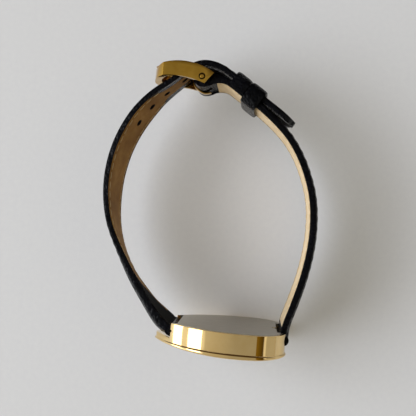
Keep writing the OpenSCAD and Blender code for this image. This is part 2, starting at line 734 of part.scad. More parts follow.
// Angle that the holed piece is twisted by: where positive, its near edge stands further out
function long_twist(s) = lookup(s, [[0, 0], [4, 0], [10, -5.5], [17, -9], [21, -9], [25, -6], [31, 0],
  [37, 4.5], [44, 7.5], [51, 9], [58, 9], [63, 5], [68, 0], [100, 0]]);
function twisted(section, a, t) = [for (q = section) [q[0] * cos(a) + (q[1] - t / 2) * sin(a),
  t / 2 + (q[1] - t / 2) * cos(a) - q[0] * sin(a)]];

// Cross-sections, as offsets along the width and depths from the outer face
function crowned(w, t, c, lining) = [[-w, c * t], [-0.86 * w, c * t / 3], [-0.5 * w, 0], [0.5 * w, 0],
  [0.86 * w, c * t / 3], [w, c * t], [w, t - lining], [-w, t - lining]];
function lined(k, from) = k < from ? 0 : lining_t;
function flat(w, t, lining) = [[-w, t - lining], [w, t - lining], [w, t], [-w, t]];
lining_from = 4;
lining_play = 0.15;
short_lining_from = 2;
short_lining_to = len(short_at) - 6;

// Band whose section follows a route; sections has one outline for each place
module band(at, inwards, sections, side) {
  n = len(sections[0]);
  last = len(at) - 1;
  points = [for (k = [0 : last], q = sections[k]) [at[k][0] + inwards[k][0] * q[1],
    at[k][1] + inwards[k][1] * q[1], side * q[0]]];
  polyhedron(points, concat([[for (j = [0 : n - 1]) j]], [[for (j = [0 : n - 1]) last * n + n - 1 - j]],
    [for (k = [0 : last - 1], j = [0 : n - 1]) [k * n + j, (k + 1) * n + j, k * n + (j + 1) % n]],
    [for (k = [0 : last - 1], j = [0 : n - 1])
      [k * n + (j + 1) % n, (k + 1) * n + j, (k + 1) * n + (j + 1) % n]]));
}

// Place and inward normal of the holed piece at a distance s from the case
function station(s, k = 0) = long_run[k + 1] >= s || k + 2 >= len(long_run) ? k : station(s, k + 1);
function long_place(s) = let (k = station(s), f = (s - long_run[k]) / (long_run[k + 1] - long_run[k]))
  mix(long_at[k], long_at[k + 1], f);
tang_hole_at = 75.17;
holes_past_tang = 2;

// The row of adjustment holes through the holed piece
module strap_holes() for (i = [0 : hole_count - 1]) {
  s = tang_hole_at + (holes_past_tang - i) * hole_pitch;
  p = long_place(s);
  n = long_in[station(s)];
  translate([p[0], p[1], 0]) rotate([0, 0, atan2(n[1], n[0])]) rotate([0, 90, 0])
    cylinder(r = hole_d / 2, h = 8, center = true, $fn = 16);
}

// Everything that the tang sweeps while it lifts, with play
module tang_path() for (a = [0 : 2 : buckle_lift + tang_lift]) about_bar(-a)
  linear_extrude(tang_w + 0.3, center = true) tang_shank(0.2);

// Holed piece: padded leather that ends in a loop round its spring bar
module long_strap_leather() color(black_leather) difference() {
  union() {
    band(long_at, long_in, [for (k = [0 : len(long_at) - 1]) let (s = long_run[k])
      twisted(crowned(long_half(s), long_thick(s), long_crown(s), lined(k, lining_from)),
        long_twist(s), long_thick(s))], 1);
    translate([lug_6[0], -lug_6[1], 0]) cylinder(r = lug_loop_r, h = lug_fold_w, center = true);
  }
  translate([lug_6[0], -lug_6[1], 0]) cylinder(r = lug_bar_r + 0.02, h = 2 * strap_w_case, center = true);
  strap_holes();
  tang_path();
}

// Stations of a list from one index to another
function part_of(list, from, to) = [for (k = [from : to]) list[k]];

// Lining of the holed piece, from past the loop to the tip
module long_strap_lining() color(tan_leather) difference() {
  last = len(long_at) - 1;
  band(part_of(long_at, lining_from, last), part_of(long_in, lining_from, last),
    [for (s = part_of(long_run, lining_from, last))
      twisted(flat(long_half(s) - lining_margin, long_thick(s), lining_t - lining_play),
        long_twist(s), long_thick(s))], 1);
  strap_holes();
  tang_path();
}

// Buckle piece: folded round the buckle's bar and round its spring bar
module short_strap_leather() color(black_leather) difference() {
  union() {
    band(short_at, short_in, [for (k = [0 : len(short_at) - 1]) let (s = short_run[k])
      crowned(short_half(s), short_thick(s), short_crown(s), lined(k, short_lining_from))], -1);
    translate([lug_12[0], -lug_12[1], 0]) cylinder(r = lug_loop_r, h = lug_fold_w, center = true);
    translate([bar_at[0], bar_at[1], 0]) cylinder(r = fold_r, h = strap_w_buckle - 0.1, center = true);
  }
  translate([lug_12[0], -lug_12[1], 0]) cylinder(r = lug_bar_r + 0.02, h = 2 * strap_w_case, center = true);
  translate([bar_at[0], bar_at[1], 0]) {
    cylinder(r = bar_r + fit, h = 2 * strap_w_case, center = true);
    cylinder(r = ear_slot_r, h = tang_w + 0.4, center = true);
  }
}

// Lining of the buckle piece, from past the loop to the end of the fold
module short_strap_lining() color(tan_leather)
  band(part_of(short_at, short_lining_from, short_lining_to),
    part_of(short_in, short_lining_from, short_lining_to),
    [for (s = part_of(short_run, short_lining_from, short_lining_to))
      flat(short_half(s) - lining_margin, short_thick(s), lining_t)], -1);

// Frame of a keeper: x along the strap, y outwards, z across, at d past the tail's start
module on_tail(d) translate([tail_point(d, 0)[0], tail_point(d, 0)[1], 0])
  rotate([0, 0, tail_angle]) children();
keeper_half = strap_w_buckle / 2 + 0.3;
fixed_at = 2;
loose_at = fixed_at + keeper_len + 0.2;
stack = short_depth + short_t_end;

// Keeper sewn to the edges of the buckle piece, open on the lining side
module fixed_keeper() color(black_leather) on_tail(fixed_at) difference() {
  translate([-keeper_len / 2, -stack + lining_t, -keeper_half - keeper_t])
    cube([keeper_len, stack - lining_t + 0.1 + keeper_t, 2 * (keeper_half + keeper_t)]);
  translate([-keeper_len, -2 * stack, -keeper_half]) cube([2 * keeper_len, 2 * stack + 0.1, 2 * keeper_half]);
}

// Keeper that slides on both layers
module loose_keeper() color(black_leather) on_tail(loose_at) difference() {
  translate([-keeper_len / 2, -stack - keeper_gap - keeper_t, -keeper_half - keeper_t])
    cube([keeper_len, stack + 2 * (keeper_gap + keeper_t), 2 * (keeper_half + keeper_t)]);
  translate([-keeper_len, -stack - keeper_gap, -keeper_half])
    cube([2 * keeper_len, stack + 2 * keeper_gap, 2 * keeper_half]);
}

buckle_lift = 4;
tang_lift = 4;
pin_r = 0.5;
front_w = 1.5;
arch_r = 13.5;
arch_top = [-4.9, 3.2];
belly_r = 18.8;
belly_top = [-6.6, -0.12];
arm_end = [2.46, 0.74];
arm_end_angle = 51;
tang_hub_r = 1.05;
ear_slot_r = 2.3;

// Turns its children about the buckle's bar
module about_bar(a) translate([bar_at[0], bar_at[1], 0]) rotate([0, 0, a]) children();

// Outline of the buckle from the side, with the bar at the origin
module buckle_side() intersection() {
  difference() {
    translate(arch_top - [0, arch_r]) circle(arch_r, $fn = 128);
    translate(belly_top - [0, belly_r]) circle(belly_r, $fn = 128);
  }
  translate(arm_end) rotate(arm_end_angle) translate([-2 * arch_r, 0]) square([4 * arch_r, 2 * arch_r]);
}

// Outline of the buckle from above: two arms joined by a bowed front bar
module buckle_plan() {
  bow_r = (pow(buckle_w / 2, 2) + pow(front_bow, 2)) / (2 * front_bow);
  bow_x = bow_r - arm_reach - front_bow;
  difference() {
    union() {
      translate([-arm_reach, -buckle_w / 2]) square([arm_reach + arch_r / 2, buckle_w]);
      intersection() {
        translate([bow_x, 0]) circle(bow_r, $fn = 128);
        translate([-40, -buckle_w / 2]) square([40, buckle_w]);
      }
    }
    intersection() {
      translate([-40, -buckle_w / 2 + arm_t]) square([80, buckle_w - 2 * arm_t]);
      union() {
        translate([bow_x, 0]) circle(bow_r - front_w, $fn = 128);
        translate([front_w - arm_reach, -buckle_w]) square([40, 2 * buckle_w]);
      }
    }
  }
}

// Gold-plated buckle frame
module buckle_frame() color(gold) about_bar(0) difference() {
  intersection() {
    linear_extrude(buckle_w + 2, center = true) buckle_side();
    translate([0, 10, 0]) rotate([90, 0, 0]) linear_extrude(20) buckle_plan();
  }
  cylinder(r = pin_r + 0.02, h = 2 * buckle_w, center = true);
}

// Spring bar of the buckle, whose pins end flush in the arms
module buckle_bar() color(gold) about_bar(0)
  spring_bar(bar_r, buckle_w - 2 * arm_t - 0.1, pin_r, arm_t + fit);

// Centre line of the tang from its eye, over the strap and onto the front bar
tang_route = [[-0.9, 0.7], [-1.9, 0.95], [-3.4, 1.6], [-5.2, 2.75], [-7.4, 3.55], [-9.6, 3.45],
  [-11.2, 2.55]];
tang_line = places(tang_route);
tang_side = inward(tang_route, 1);
module tang_shank(play = 0) polygon(concat(
  [for (k = [0 : len(tang_line) - 1]) tang_line[k] + tang_side[k] * (tang_t / 2 + play)],
  [for (k = [len(tang_line) - 1 : -1 : 0]) tang_line[k] - tang_side[k] * (tang_t / 2 + play)]));

// Strip that hooks from the shank round the leather's fold
hook_route = [[-2.9, 1.5], [-2.75, 0.9], [-2.55, 0], [-1.9, -1.2], [-0.8, -2.1], [0.4, -2.5], [1.75, -2.2]];
hook_t = 0.32;
hook_line = places(hook_route);
hook_side = inward(hook_route, 1);

// Tang with a hub that turns on the bar between the leather's ears
module tang() color(gold) about_bar(0) difference() {
  linear_extrude(tang_w, center = true) union() {
    circle(tang_hub_r);
    tang_shank();
    polygon(concat([for (k = [0 : len(hook_line) - 1]) hook_line[k] + hook_side[k] * hook_t / 2],
      [for (k = [len(hook_line) - 1 : -1 : 0]) hook_line[k] - hook_side[k] * hook_t / 2]));
  }
  cylinder(r = bar_r + run_gap, h = 2 * tang_w, center = true);
}

case_body();
case_back();
back_gasket();
crystal();
crystal_gasket();
dial();
movement_ring();
crown_tube();
lug_spring_bars();
main_plate();
train_bridge();
bridge_screws();
battery();
battery_clip();
circuit_board();
quartz_can();
coil();
stator();
rotor();
step_wheel();
third_wheel();
centre_wheel();
minute_wheel();
hour_wheel();
hour_hand();
minute_hand();
setting_lever();
sliding_pinion();
stem();
crown();
long_strap_leather();
long_strap_lining();
short_strap_leather();
short_strap_lining();
fixed_keeper();
loose_keeper();
buckle_frame();
buckle_bar();
tang();
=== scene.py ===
import math

import bmesh
import bpy
from mathutils import Matrix, Vector


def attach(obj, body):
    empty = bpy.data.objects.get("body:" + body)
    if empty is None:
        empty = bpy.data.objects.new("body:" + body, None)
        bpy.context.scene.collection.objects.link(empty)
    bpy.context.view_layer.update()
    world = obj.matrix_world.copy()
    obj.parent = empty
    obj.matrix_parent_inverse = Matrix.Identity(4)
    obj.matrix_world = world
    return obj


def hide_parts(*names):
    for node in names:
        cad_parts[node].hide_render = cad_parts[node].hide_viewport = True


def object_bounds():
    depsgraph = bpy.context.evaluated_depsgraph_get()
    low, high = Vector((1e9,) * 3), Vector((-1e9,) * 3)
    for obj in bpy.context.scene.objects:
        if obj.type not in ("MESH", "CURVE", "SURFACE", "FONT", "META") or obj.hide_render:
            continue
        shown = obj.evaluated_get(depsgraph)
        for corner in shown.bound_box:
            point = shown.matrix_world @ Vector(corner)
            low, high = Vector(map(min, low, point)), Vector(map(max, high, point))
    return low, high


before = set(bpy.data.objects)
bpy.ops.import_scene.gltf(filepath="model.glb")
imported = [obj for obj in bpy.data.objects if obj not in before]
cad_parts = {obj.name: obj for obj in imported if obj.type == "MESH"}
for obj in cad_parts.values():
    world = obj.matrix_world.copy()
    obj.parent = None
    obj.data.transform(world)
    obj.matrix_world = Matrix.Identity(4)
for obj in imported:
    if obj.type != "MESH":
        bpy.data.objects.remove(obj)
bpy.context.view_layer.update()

# ---------------------------------------------------------------- case
# The case is brass, milled to a heart, polished and plated with pale gold. A rounded bezel stands a little
# proud of its plain flank. Both ends have a slot behind the dial for the strap and its spring bar.
# Sizes are in mm, and heights run from the back to the front.
MM = 0.001
LOBE_R, LOBE_X, LOBE_Y = 7.4, 5.36, 5.55
SIDE_R, SIDE_LEAN, TIP_R = 22.0, math.radians(8), 3.0
ARC_STEPS, CLEFT_TURN = 48, 0.02
CASE_T, FLANK_H, FRONT_R = 5.4, 4.2, 170.0
BEZEL_LIP, BEZEL_W, BEAD = 0.3, 1.1, 0.5
BEAD_FROM, BEAD_TURN, BEAD_STEPS = -66, 156, 16
CRYSTAL_Z, FLANGE_W, WALL, DIAL_TOP = 4.2, 1.9, 1.3, 3.3
BACK_IN, BACK_Z, BACK_TOP = 0.45, 0.05, 0.65
BACK_EDGE = ((0.12, BACK_Z), (0.035, 0.085), (0, 0.17))
SLOT_6, SLOT_12, SLOT_HALF, SLOT_DEPTH = 11.2, 10.9, 6.25, 3.15
HAND_AXIS_X, STEM_Z, STEM_HOLE_R = -0.3, 1.65, 0.76
THROUGH, SLOT_END = 20.0, 30.0  # past the case and past the strap, for cuts that go right through


def linear(colour, alpha=1.0):
    """Linear RGBA of an sRGB hex colour."""
    parts = [int(colour[i : i + 2], 16) / 255 for i in (1, 3, 5)]
    return [c / 12.92 if c <= 0.04045 else ((c + 0.055) / 1.055) ** 2.4 for c in parts] + [alpha]


def add(tree, kind, inputs=None, **settings):
    """Adds one shader node. An input given another node's output is linked, any other value is set."""
    node = tree.nodes.new("ShaderNode" + kind)
    for name, value in settings.items():
        setattr(node, name, value)
    for name, value in (inputs or {}).items():
        if isinstance(value, bpy.types.NodeSocket):
            tree.links.new(value, node.inputs[name])
        else:
            node.inputs[name].default_value = value
    return node


def finish_of(name, build):
    """Material whose Principled shader gets the inputs that build(tree, coordinates in mm) returns."""
    material = bpy.data.materials.new(name)
    material.use_nodes = True
    tree = material.node_tree
    tree.nodes.clear()
    place = add(tree, "TexCoord").outputs["Object"]
    in_mm = add(tree, "VectorMath", {0: place, "Scale": 1 / MM}, operation="SCALE").outputs["Vector"]
    shader = add(tree, "BsdfPrincipled", build(tree, in_mm))
    add(tree, "OutputMaterial", {"Surface": shader.outputs["BSDF"]})
    return material


def ramp(tree, value, *stops):
    """Colour ramp with the given (position, hex colour) stops."""
    node = add(tree, "ValToRGB", {"Fac": value})
    while len(node.color_ramp.elements) < len(stops):
        node.color_ramp.elements.new(0.5)
    for element, (position, colour) in zip(node.color_ramp.elements, stops):
        element.position = position
        element.color = linear(colour)
    return node.outputs["Color"]


def spread(tree, value, low, high, at_low=0.0, at_high=1.0):
    """Value moved from the range low to high to the range at_low to at_high."""
    return add(tree, "MapRange", {"Value": value, "From Min": low, "From Max": high,
        "To Min": at_low, "To Max": at_high}).outputs["Result"]


def polished_plate(colour, worn, uneven=0.0):
    """Gold plate over polished brass: a mirror with faint hairlines, and swells that are uneven mm high."""
    def build(tree, mm):
        along = add(tree, "VectorMath", {0: mm, 1: (0.6, 0.6, 9.0)}, operation="MULTIPLY").outputs["Vector"]
        hair = add(tree, "TexNoise", {"Vector": along, "Scale": 3.0, "Detail": 3.0}).outputs["Fac"]
        cloud = add(tree, "TexNoise", {"Vector": mm, "Scale": 0.35, "Detail": 2.0}).outputs["Fac"]
        tone = ramp(tree, cloud, (0.3, worn), (0.7, colour))
        swell = add(tree, "TexNoise", {"Vector": mm, "Scale": 0.16, "Detail": 0.0}).outputs["Fac"]
        swollen = add(tree, "Bump", {"Height": swell, "Strength": 1.0, "Distance": uneven * MM})
        bump = add(tree, "Bump", {"Height": hair, "Strength": 0.012, "Distance": 0.02 * MM,
            "Normal": swollen.outputs["Normal"]})
        return {"Base Color": tone, "Metallic": 1.0, "Normal": bump.outputs["Normal"],
            "Roughness": spread(tree, cloud, 0.3, 0.7, 0.07, 0.035)}
    return build


case_gold = finish_of("polished_gold_plate", polished_plate("#F0D39A", "#EACB8E"))


def heart(inset):
    """Outline of the case, drawn inwards by inset: points (towards 12, towards 9), round from the cleft."""
    cleft = LOBE_X + math.sqrt(LOBE_R**2 - LOBE_Y**2)
    side_x = LOBE_X - (SIDE_R - LOBE_R) * math.sin(SIDE_LEAN)
    side_y = (SIDE_R - LOBE_R) * math.cos(SIDE_LEAN) - LOBE_Y
    tip_x = side_x - math.sqrt((SIDE_R - TIP_R) ** 2 - side_y**2)
    tip_turn = math.atan2(side_y, tip_x - side_x)
    half = []

    def arc(x, y, r, start, end, n):
        for i in range(n):
            a = start + (end - start) * i / n
            half.append((x + r * math.cos(a), y + r * math.sin(a)))

    to_cleft = -math.atan2(LOBE_Y, cleft - LOBE_X)
    if inset > 0:
        arc(cleft, 0, inset, math.pi, math.pi + to_cleft, ARC_STEPS // 4)
    else:
        to_cleft = -math.asin(LOBE_Y / (LOBE_R - inset))
        arc(LOBE_X, LOBE_Y, LOBE_R - inset, to_cleft, to_cleft + CLEFT_TURN, ARC_STEPS // 4)
        to_cleft += CLEFT_TURN
    arc(LOBE_X, LOBE_Y, LOBE_R - inset, to_cleft, math.pi / 2 - SIDE_LEAN, 2 * ARC_STEPS)
    arc(side_x, -side_y, SIDE_R - inset, math.pi / 2 - SIDE_LEAN, tip_turn, ARC_STEPS)
    arc(tip_x, 0, TIP_R - inset, tip_turn, math.pi, ARC_STEPS // 2)
    half.append((tip_x - TIP_R + inset, 0))
    return half + [(x, -y) for x, y in reversed(half[1:-1])]


def front(x):
    """Height of the watch's front, which is curved along the wrist."""
    return CASE_T - FRONT_R + math.sqrt(FRONT_R**2 - x**2)


def stand(x, y, z):
    """From the watch lying on its back to the part's frame, in metres."""
    return Vector((x, -z, y)) * MM


def shade(thing, angle):
    """Shades a thing smooth up to an angle in degrees."""
    thing.data.shade_smooth()
    thing.data.set_sharp_from_angle(angle=math.radians(angle))


def mesh_object(name, points, faces, material, smooth=35):
    """New object from points in metres, with faces turned outwards and shaded smooth up to an angle."""
    mesh = bpy.data.meshes.new(name)
    mesh.from_pydata([tuple(p) for p in points], [], faces)
    work = bmesh.new()
    work.from_mesh(mesh)
    bmesh.ops.remove_doubles(work, verts=work.verts, dist=1e-7)
    bmesh.ops.recalc_face_normals(work, faces=work.faces)
    work.to_mesh(mesh)
    work.free()
    thing = bpy.data.objects.new(name, mesh)
    bpy.context.scene.collection.objects.link(thing)
    mesh.materials.append(material)
    shade(thing, smooth)
    return thing


def loft(rings, capped=True):
    """Points and faces of a skin over closed rings with the same number of points."""
    n = len(rings[0])
    points = [p for ring in rings for p in ring]
    faces = [(k * n + j, k * n + (j + 1) % n, (k + 1) * n + (j + 1) % n, (k + 1) * n + j)
        for k in range(len(rings) - 1) for j in range(n)]
    if capped:
        faces += [tuple(range(n)), tuple(range(len(points) - n, len(points)))]
    return points, faces


def box(low, high):
    """Points and faces of a box between two corners in the part's frame, in mm."""
    (x0, y0, z0), (x1, y1, z1) = low, high
    points = [Vector((x, y, z)) * MM for x in (x0, x1) for y in (y0, y1) for z in (z0, z1)]
    return points, [(0, 1, 3, 2), (4, 6, 7, 5), (0, 4, 5, 1), (2, 3, 7, 6), (0, 2, 6, 4), (1, 5, 7, 3)]


def rod(start, end, radius, sides=32):
    """Points and faces of a round bar between two points in mm."""
    start, end = Vector(start) * MM, Vector(end) * MM
    turn = (end - start).to_track_quat("Z", "Y")
    rings = [[at + turn @ Vector((math.cos(a), math.sin(a), 0)) * radius * MM
        for a in (2 * math.pi * i / sides for i in range(sides))] for at in (start, end)]
    return loft(rings)


def cut(thing, cutters):
    """Takes closed cutters, each points and faces, out of a thing."""
    for i, (points, faces) in enumerate(cutters):
        tool = mesh_object(f"{thing.name}_cutter", points, faces, thing.data.materials[0])
        step = thing.modifiers.new(f"cut{i}", "BOOLEAN")
        step.object, step.operation, step.solver = tool, "DIFFERENCE", "EXACT"
        apply_all(thing)
        bpy.data.objects.remove(tool)


def apply_all(thing):
    """Puts the result of a thing's modifiers into its mesh."""
    graph = bpy.context.evaluated_depsgraph_get()
    made = bpy.data.meshes.new_from_object(thing.evaluated_get(graph))
    old = thing.data
    thing.modifiers.clear()
    thing.data = made
    made.name = old.name
    bpy.data.meshes.remove(old)


def heart_ring(inset, height):
    """Outline at a height, which is a number or a function of the distance towards 12."""
    return [stand(x, y, height(x) if callable(height) else height) for x, y in heart(inset)]


# From the rounded back edge up the flank, over the bezel's bead, down inside and back under the case back
rings = [heart_ring(inset, height) for inset, height in BACK_EDGE + ((0, FLANK_H),)]
for i in range(BEAD_STEPS + 1):
    a = math.radians(BEAD_FROM + BEAD_TURN * i / BEAD_STEPS)
    rings.append(heart_ring(-BEZEL_LIP + BEAD * (1 - math.cos(a)),
        lambda x, a=a: FLANK_H + (front(x) - FLANK_H) * (1 + math.sin(a)) / 2))
for inset, height in ((BEZEL_W - 0.02, lambda x: front(x) - 0.03), (BEZEL_W, lambda x: front(x) - 0.11),
        (BEZEL_W, CRYSTAL_Z), (FLANGE_W, CRYSTAL_Z), (FLANGE_W, DIAL_TOP), (WALL, DIAL_TOP),
        (WALL, BACK_TOP), (BACK_IN, BACK_TOP), (BACK_IN, BACK_Z)):
    rings.append(heart_ring(inset, height))
rings.append(rings[0])
case = mesh_object("case_body_plated", *loft(rings, capped=False), case_gold)
cut(case, [box((-SLOT_END, -SLOT_DEPTH, -SLOT_HALF), (-SLOT_6, 1, SLOT_HALF)),
    box((SLOT_12, -SLOT_DEPTH, -SLOT_HALF), (SLOT_END, 1, SLOT_HALF)),
    rod((HAND_AXIS_X, -STEM_Z, -THROUGH), (HAND_AXIS_X, -STEM_Z, 0), STEM_HOLE_R)])
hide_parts("case_body")
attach(case, "watch")

# ---------------------------------------------------------------- case back
# The snap-on back is pressed from stainless steel and brushed along the wrist, which leaves it satin.
# Its rim is rounded, and it is held by a groove that a rubber ring seals.


def brushed_steel(colour, scratch):
    """Satin steel whose grain runs along the wrist, 0.08 mm between the brush marks."""
    def build(tree, mm):
        along = add(tree, "VectorMath", {0: mm, 1: (0.15, 1.0, 6.0)}, operation="MULTIPLY").outputs["Vector"]
        grain = add(tree, "TexNoise", {"Vector": along, "Scale": 2.0, "Detail": 4.0}).outputs["Fac"]
        tone = ramp(tree, grain, (0.25, scratch), (0.75, colour))
        bump = add(tree, "Bump", {"Height": grain, "Strength": 0.12, "Distance": 0.02 * MM}).outputs["Normal"]
        return {"Base Color": tone, "Metallic": 1.0, "Normal": bump, "Anisotropic": 0.5,
            "Roughness": spread(tree, grain, 0.2, 0.8, 0.38, 0.26)}
    return build


satin_steel = finish_of("brushed_stainless_steel", brushed_steel("#AEA798", "#898171"))
EDGE_ANGLE, COPY_ANGLE = 38, 30  # degrees from which an edge is rounded, and from which a copy's stays sharp


def soften(thing, width, segments=2):
    """Rounds a thing's edges by width in mm."""
    step = thing.modifiers.new("soften", "BEVEL")
    step.width, step.segments = width * MM, segments
    step.limit_method, step.angle_limit = "ANGLE", math.radians(EDGE_ANGLE)
    step.harden_normals = False
    apply_all(thing)
    shade(thing, EDGE_ANGLE)


def copy_of(node, name, material, width=0.0, segments=2):
    """New piece with a node's form, its edges rounded by width in mm."""
    mesh = bpy.data.meshes.new(name)
    work = bmesh.new()
    work.from_mesh(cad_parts[node].data)
    bmesh.ops.remove_doubles(work, verts=work.verts, dist=2e-6)
    work.to_mesh(mesh)
    work.free()
    thing = bpy.data.objects.new(name, mesh)
    bpy.context.scene.collection.objects.link(thing)
    mesh.materials.clear()
    mesh.materials.append(material)
    shade(thing, COPY_ANGLE)
    if width:
        soften(thing, width, segments)
    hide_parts(node)
    return thing


back = copy_of("case_back", "case_back_brushed", satin_steel)
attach(back, "watch")


def nitrile(tree, mm):
    """Black moulded rubber, matt."""
    grain = add(tree, "TexNoise", {"Vector": mm, "Scale": 6.0}).outputs["Fac"]
    bump = add(tree, "Bump", {"Height": grain, "Strength": 0.1, "Distance": 0.02 * MM}).outputs["Normal"]
    return {"Base Color": ramp(tree, grain, (0.3, "#161616"), (0.7, "#242424")), "Roughness": 0.7,
        "Normal": bump}


def dress(node, material):
    """Gives a node that stays as it is its material."""
    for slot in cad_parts[node].material_slots:
        slot.material = material


dress("back_gasket", finish_of("moulded_nitrile_rubber", nitrile))

# ---------------------------------------------------------------- glass
# The glass is ground mineral glass in the heart's outline, flat below and curved along the wrist above.
# A thin nylon ring holds it in the bezel.


def mineral_glass(tree, mm):
    """Clear polished glass with the faintest handling marks."""
    smear = add(tree, "TexNoise", {"Vector": mm, "Scale": 0.5, "Detail": 3.0}).outputs["Fac"]
    return {"Base Color": linear("#F6FAF9"), "Transmission Weight": 1.0, "IOR": 1.52, "Alpha": 0.4,
        "Roughness": spread(tree, smear, 0.4, 0.8, 0.0, 0.03)}


def nylon(tree, mm):
    """Pale moulded nylon, half matt."""
    cloud = add(tree, "TexNoise", {"Vector": mm, "Scale": 1.5}).outputs["Fac"]
    return {"Base Color": ramp(tree, cloud, (0.3, "#DAD6CA"), (0.7, "#E8E4D8")), "Roughness": 0.45}


dress("crystal", finish_of("ground_mineral_glass", mineral_glass))
pale_nylon = finish_of("moulded_nylon", nylon)
dress("crystal_gasket", pale_nylon)
dress("movement_ring", pale_nylon)

# ---------------------------------------------------------------- dial and hands
# The dial is brass under cream lacquer, with twelve raised gilt markers and a ring of printed dots for the
# minutes. Its face fills the heart up to the flange. The hands are stamped from gilt brass.
FACE_IN, FACE_LOW, FACE_HIGH = 1.35, 3.16, 3.32
TUBE_HOLE_R, TUBE_HOLE_LOW, TUBE_HOLE_HIGH = 1.0, 2, 5
BATON_SECTION = ((-0.23, -0.01), (-0.21, 0.105), (0, 0.15), (0.21, 0.105), (0.23, -0.01))
QUARTER_BATON, HOUR_BATON = (6.08, 7.52), (6.48, 7.42)
PRINT_R, PRINT_T, DOT_R = 7.25, 0.01, 0.09


def cream_lacquer(tree, mm):
    """Cream dial lacquer with a soft sunburst from the middle and a clear coat."""
    from_middle = add(tree, "VectorMath", {0: mm, 1: (-HAND_AXIS_X, 0, 0)}, operation="ADD").outputs["Vector"]
    split = add(tree, "SeparateXYZ", {"Vector": from_middle})
    angle = add(tree, "Math", {0: split.outputs["X"], 1: split.outputs["Z"]}, operation="ARCTAN2")
    rays = add(tree, "TexNoise", {"W": angle.outputs["Value"], "Scale": 40.0, "Detail": 2.0},
        noise_dimensions="1D").outputs["Fac"]
    return {"Base Color": ramp(tree, rays, (0.3, "#EFE8D6"), (0.7, "#F6F1E4")), "Roughness": 0.35,
        "Metallic": 0.15, "Coat Weight": 0.5, "Coat Roughness": 0.1}


cream = finish_of("cream_dial_lacquer", cream_lacquer)
dress("dial", cream)
gilt = finish_of("gilt_brass", polished_plate("#EBCB86", "#E2BE76"))
for hand in ("hour_hand", "minute_hand"):
    dress(hand, gilt)


def baton(turn, ends):
    """Points and faces of one marker with a bevelled top, between two distances from the hands' axis."""
    c, si = math.cos(turn), math.sin(turn)
    return loft([[stand(HAND_AXIS_X + r * c - w * si, r * si + w * c, DIAL_TOP + h) for w, h in BATON_SECTION]
        for r in ends])


def together(parts):
    """One list of points and one of faces from several closed forms."""
    points, faces = [], []
    for some, others in parts:
        faces += [tuple(i + len(points) for i in face) for face in others]
        points += some
    return points, faces


def printed_black(tree, mm):
    """Thin black pad-printed ink."""
    speck = add(tree, "TexNoise", {"Vector": mm, "Scale": 9.0}).outputs["Fac"]
    return {"Base Color": ramp(tree, speck, (0.3, "#141312"), (0.7, "#26241F")), "Roughness": 0.5}


face = mesh_object("dial_face", *loft([heart_ring(FACE_IN, h) for h in (FACE_LOW, FACE_HIGH)]), cream)
cut(face, [rod((HAND_AXIS_X, -TUBE_HOLE_HIGH, 0), (HAND_AXIS_X, -TUBE_HOLE_LOW, 0), TUBE_HOLE_R)])
shade(face, 20)
batons = [baton(math.radians(30 * i), HOUR_BATON if i % 3 else QUARTER_BATON) for i in range(12)]
markers = mesh_object("dial_markers_gilt", *together(batons), gilt, 20)
dots = []
for i in range(60):
    if i % 5:
        x = HAND_AXIS_X + PRINT_R * math.cos(math.radians(6 * i))
        y = PRINT_R * math.sin(math.radians(6 * i))
        dots.append(rod((x, -FACE_HIGH + PRINT_T, y), (x, -FACE_HIGH - PRINT_T, y), DOT_R, 12))
minute_print = mesh_object("dial_minute_print", *together(dots), finish_of("printed_black", printed_black), 20)
for thing, slot in ((face, "dial_enamel"), (markers, "gold_hands"), (minute_print, "dial_enamel")):
    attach(thing, "watch")

# ---------------------------------------------------------------- movement
# A small quartz movement: gilt brass plate, bridge and wheels, steel pins and screws, a silver-oxide cell,
# a laminate board and a coil of lacquered copper wire. It is closed in by the case.


def rolled_brass(tree, mm):
    """Brass as it comes from the press, with a fine even grain."""
    grain = add(tree, "TexNoise", {"Vector": mm, "Scale": 5.0, "Detail": 3.0}).outputs["Fac"]
    bump = add(tree, "Bump", {"Height": grain, "Strength": 0.08, "Distance": 0.02 * MM}).outputs["Normal"]
    return {"Base Color": ramp(tree, grain, (0.3, "#C9A552"), (0.7, "#DDBC6C")), "Metallic": 1.0,
        "Roughness": 0.3, "Normal": bump}


def copper_wire(tree, mm):
    """Lacquered copper wire in layers, 0.1 mm from turn to turn."""
    turns = add(tree, "TexWave", {"Vector": mm, "Scale": 3.1, "Distortion": 0.3}, bands_direction="Z")
    turns = turns.outputs["Fac"]
    bump = add(tree, "Bump", {"Height": turns, "Strength": 0.5, "Distance": 0.05 * MM}).outputs["Normal"]
    return {"Base Color": ramp(tree, turns, (0.0, "#7A3B1C"), (1.0, "#C4723C")), "Metallic": 0.9,
        "Roughness": 0.3, "Coat Weight": 0.6, "Normal": bump}


def laminate(tree, mm):
    """Green glass-fibre laminate under solder lacquer."""
    weave = add(tree, "TexWave", {"Vector": mm, "Scale": 2.0, "Distortion": 1.0}).outputs["Fac"]
    return {"Base Color": ramp(tree, weave, (0.0, "#1F4A35"), (1.0, "#2B6045")), "Roughness": 0.35,
        "Coat Weight": 0.4}


press_brass = finish_of("rolled_brass", rolled_brass)
turned_steel = finish_of("turned_steel", brushed_steel("#C4C4C2", "#A4A4A4"))
soft_iron = finish_of("annealed_soft_iron", brushed_steel("#8E8F92", "#74767A"))
for node in ("main_plate", "train_bridge", "battery_clip", "step_wheel", "third_wheel", "centre_wheel",
        "minute_wheel", "hour_wheel", "crown_tube"):
    dress(node, press_brass)
for node in ("bridge_screws", "battery", "quartz_can", "setting_lever", "sliding_pinion", "stem"):
    dress(node, turned_steel)
dress("lug_spring_bars", finish_of("blackened_steel", brushed_steel("#2A2A2C", "#1C1C1E")))
for node in ("stator", "rotor"):
    dress(node, soft_iron)
dress("coil", finish_of("lacquered_copper_wire", copper_wire))
dress("circuit_board", finish_of("glass_fibre_laminate", laminate))

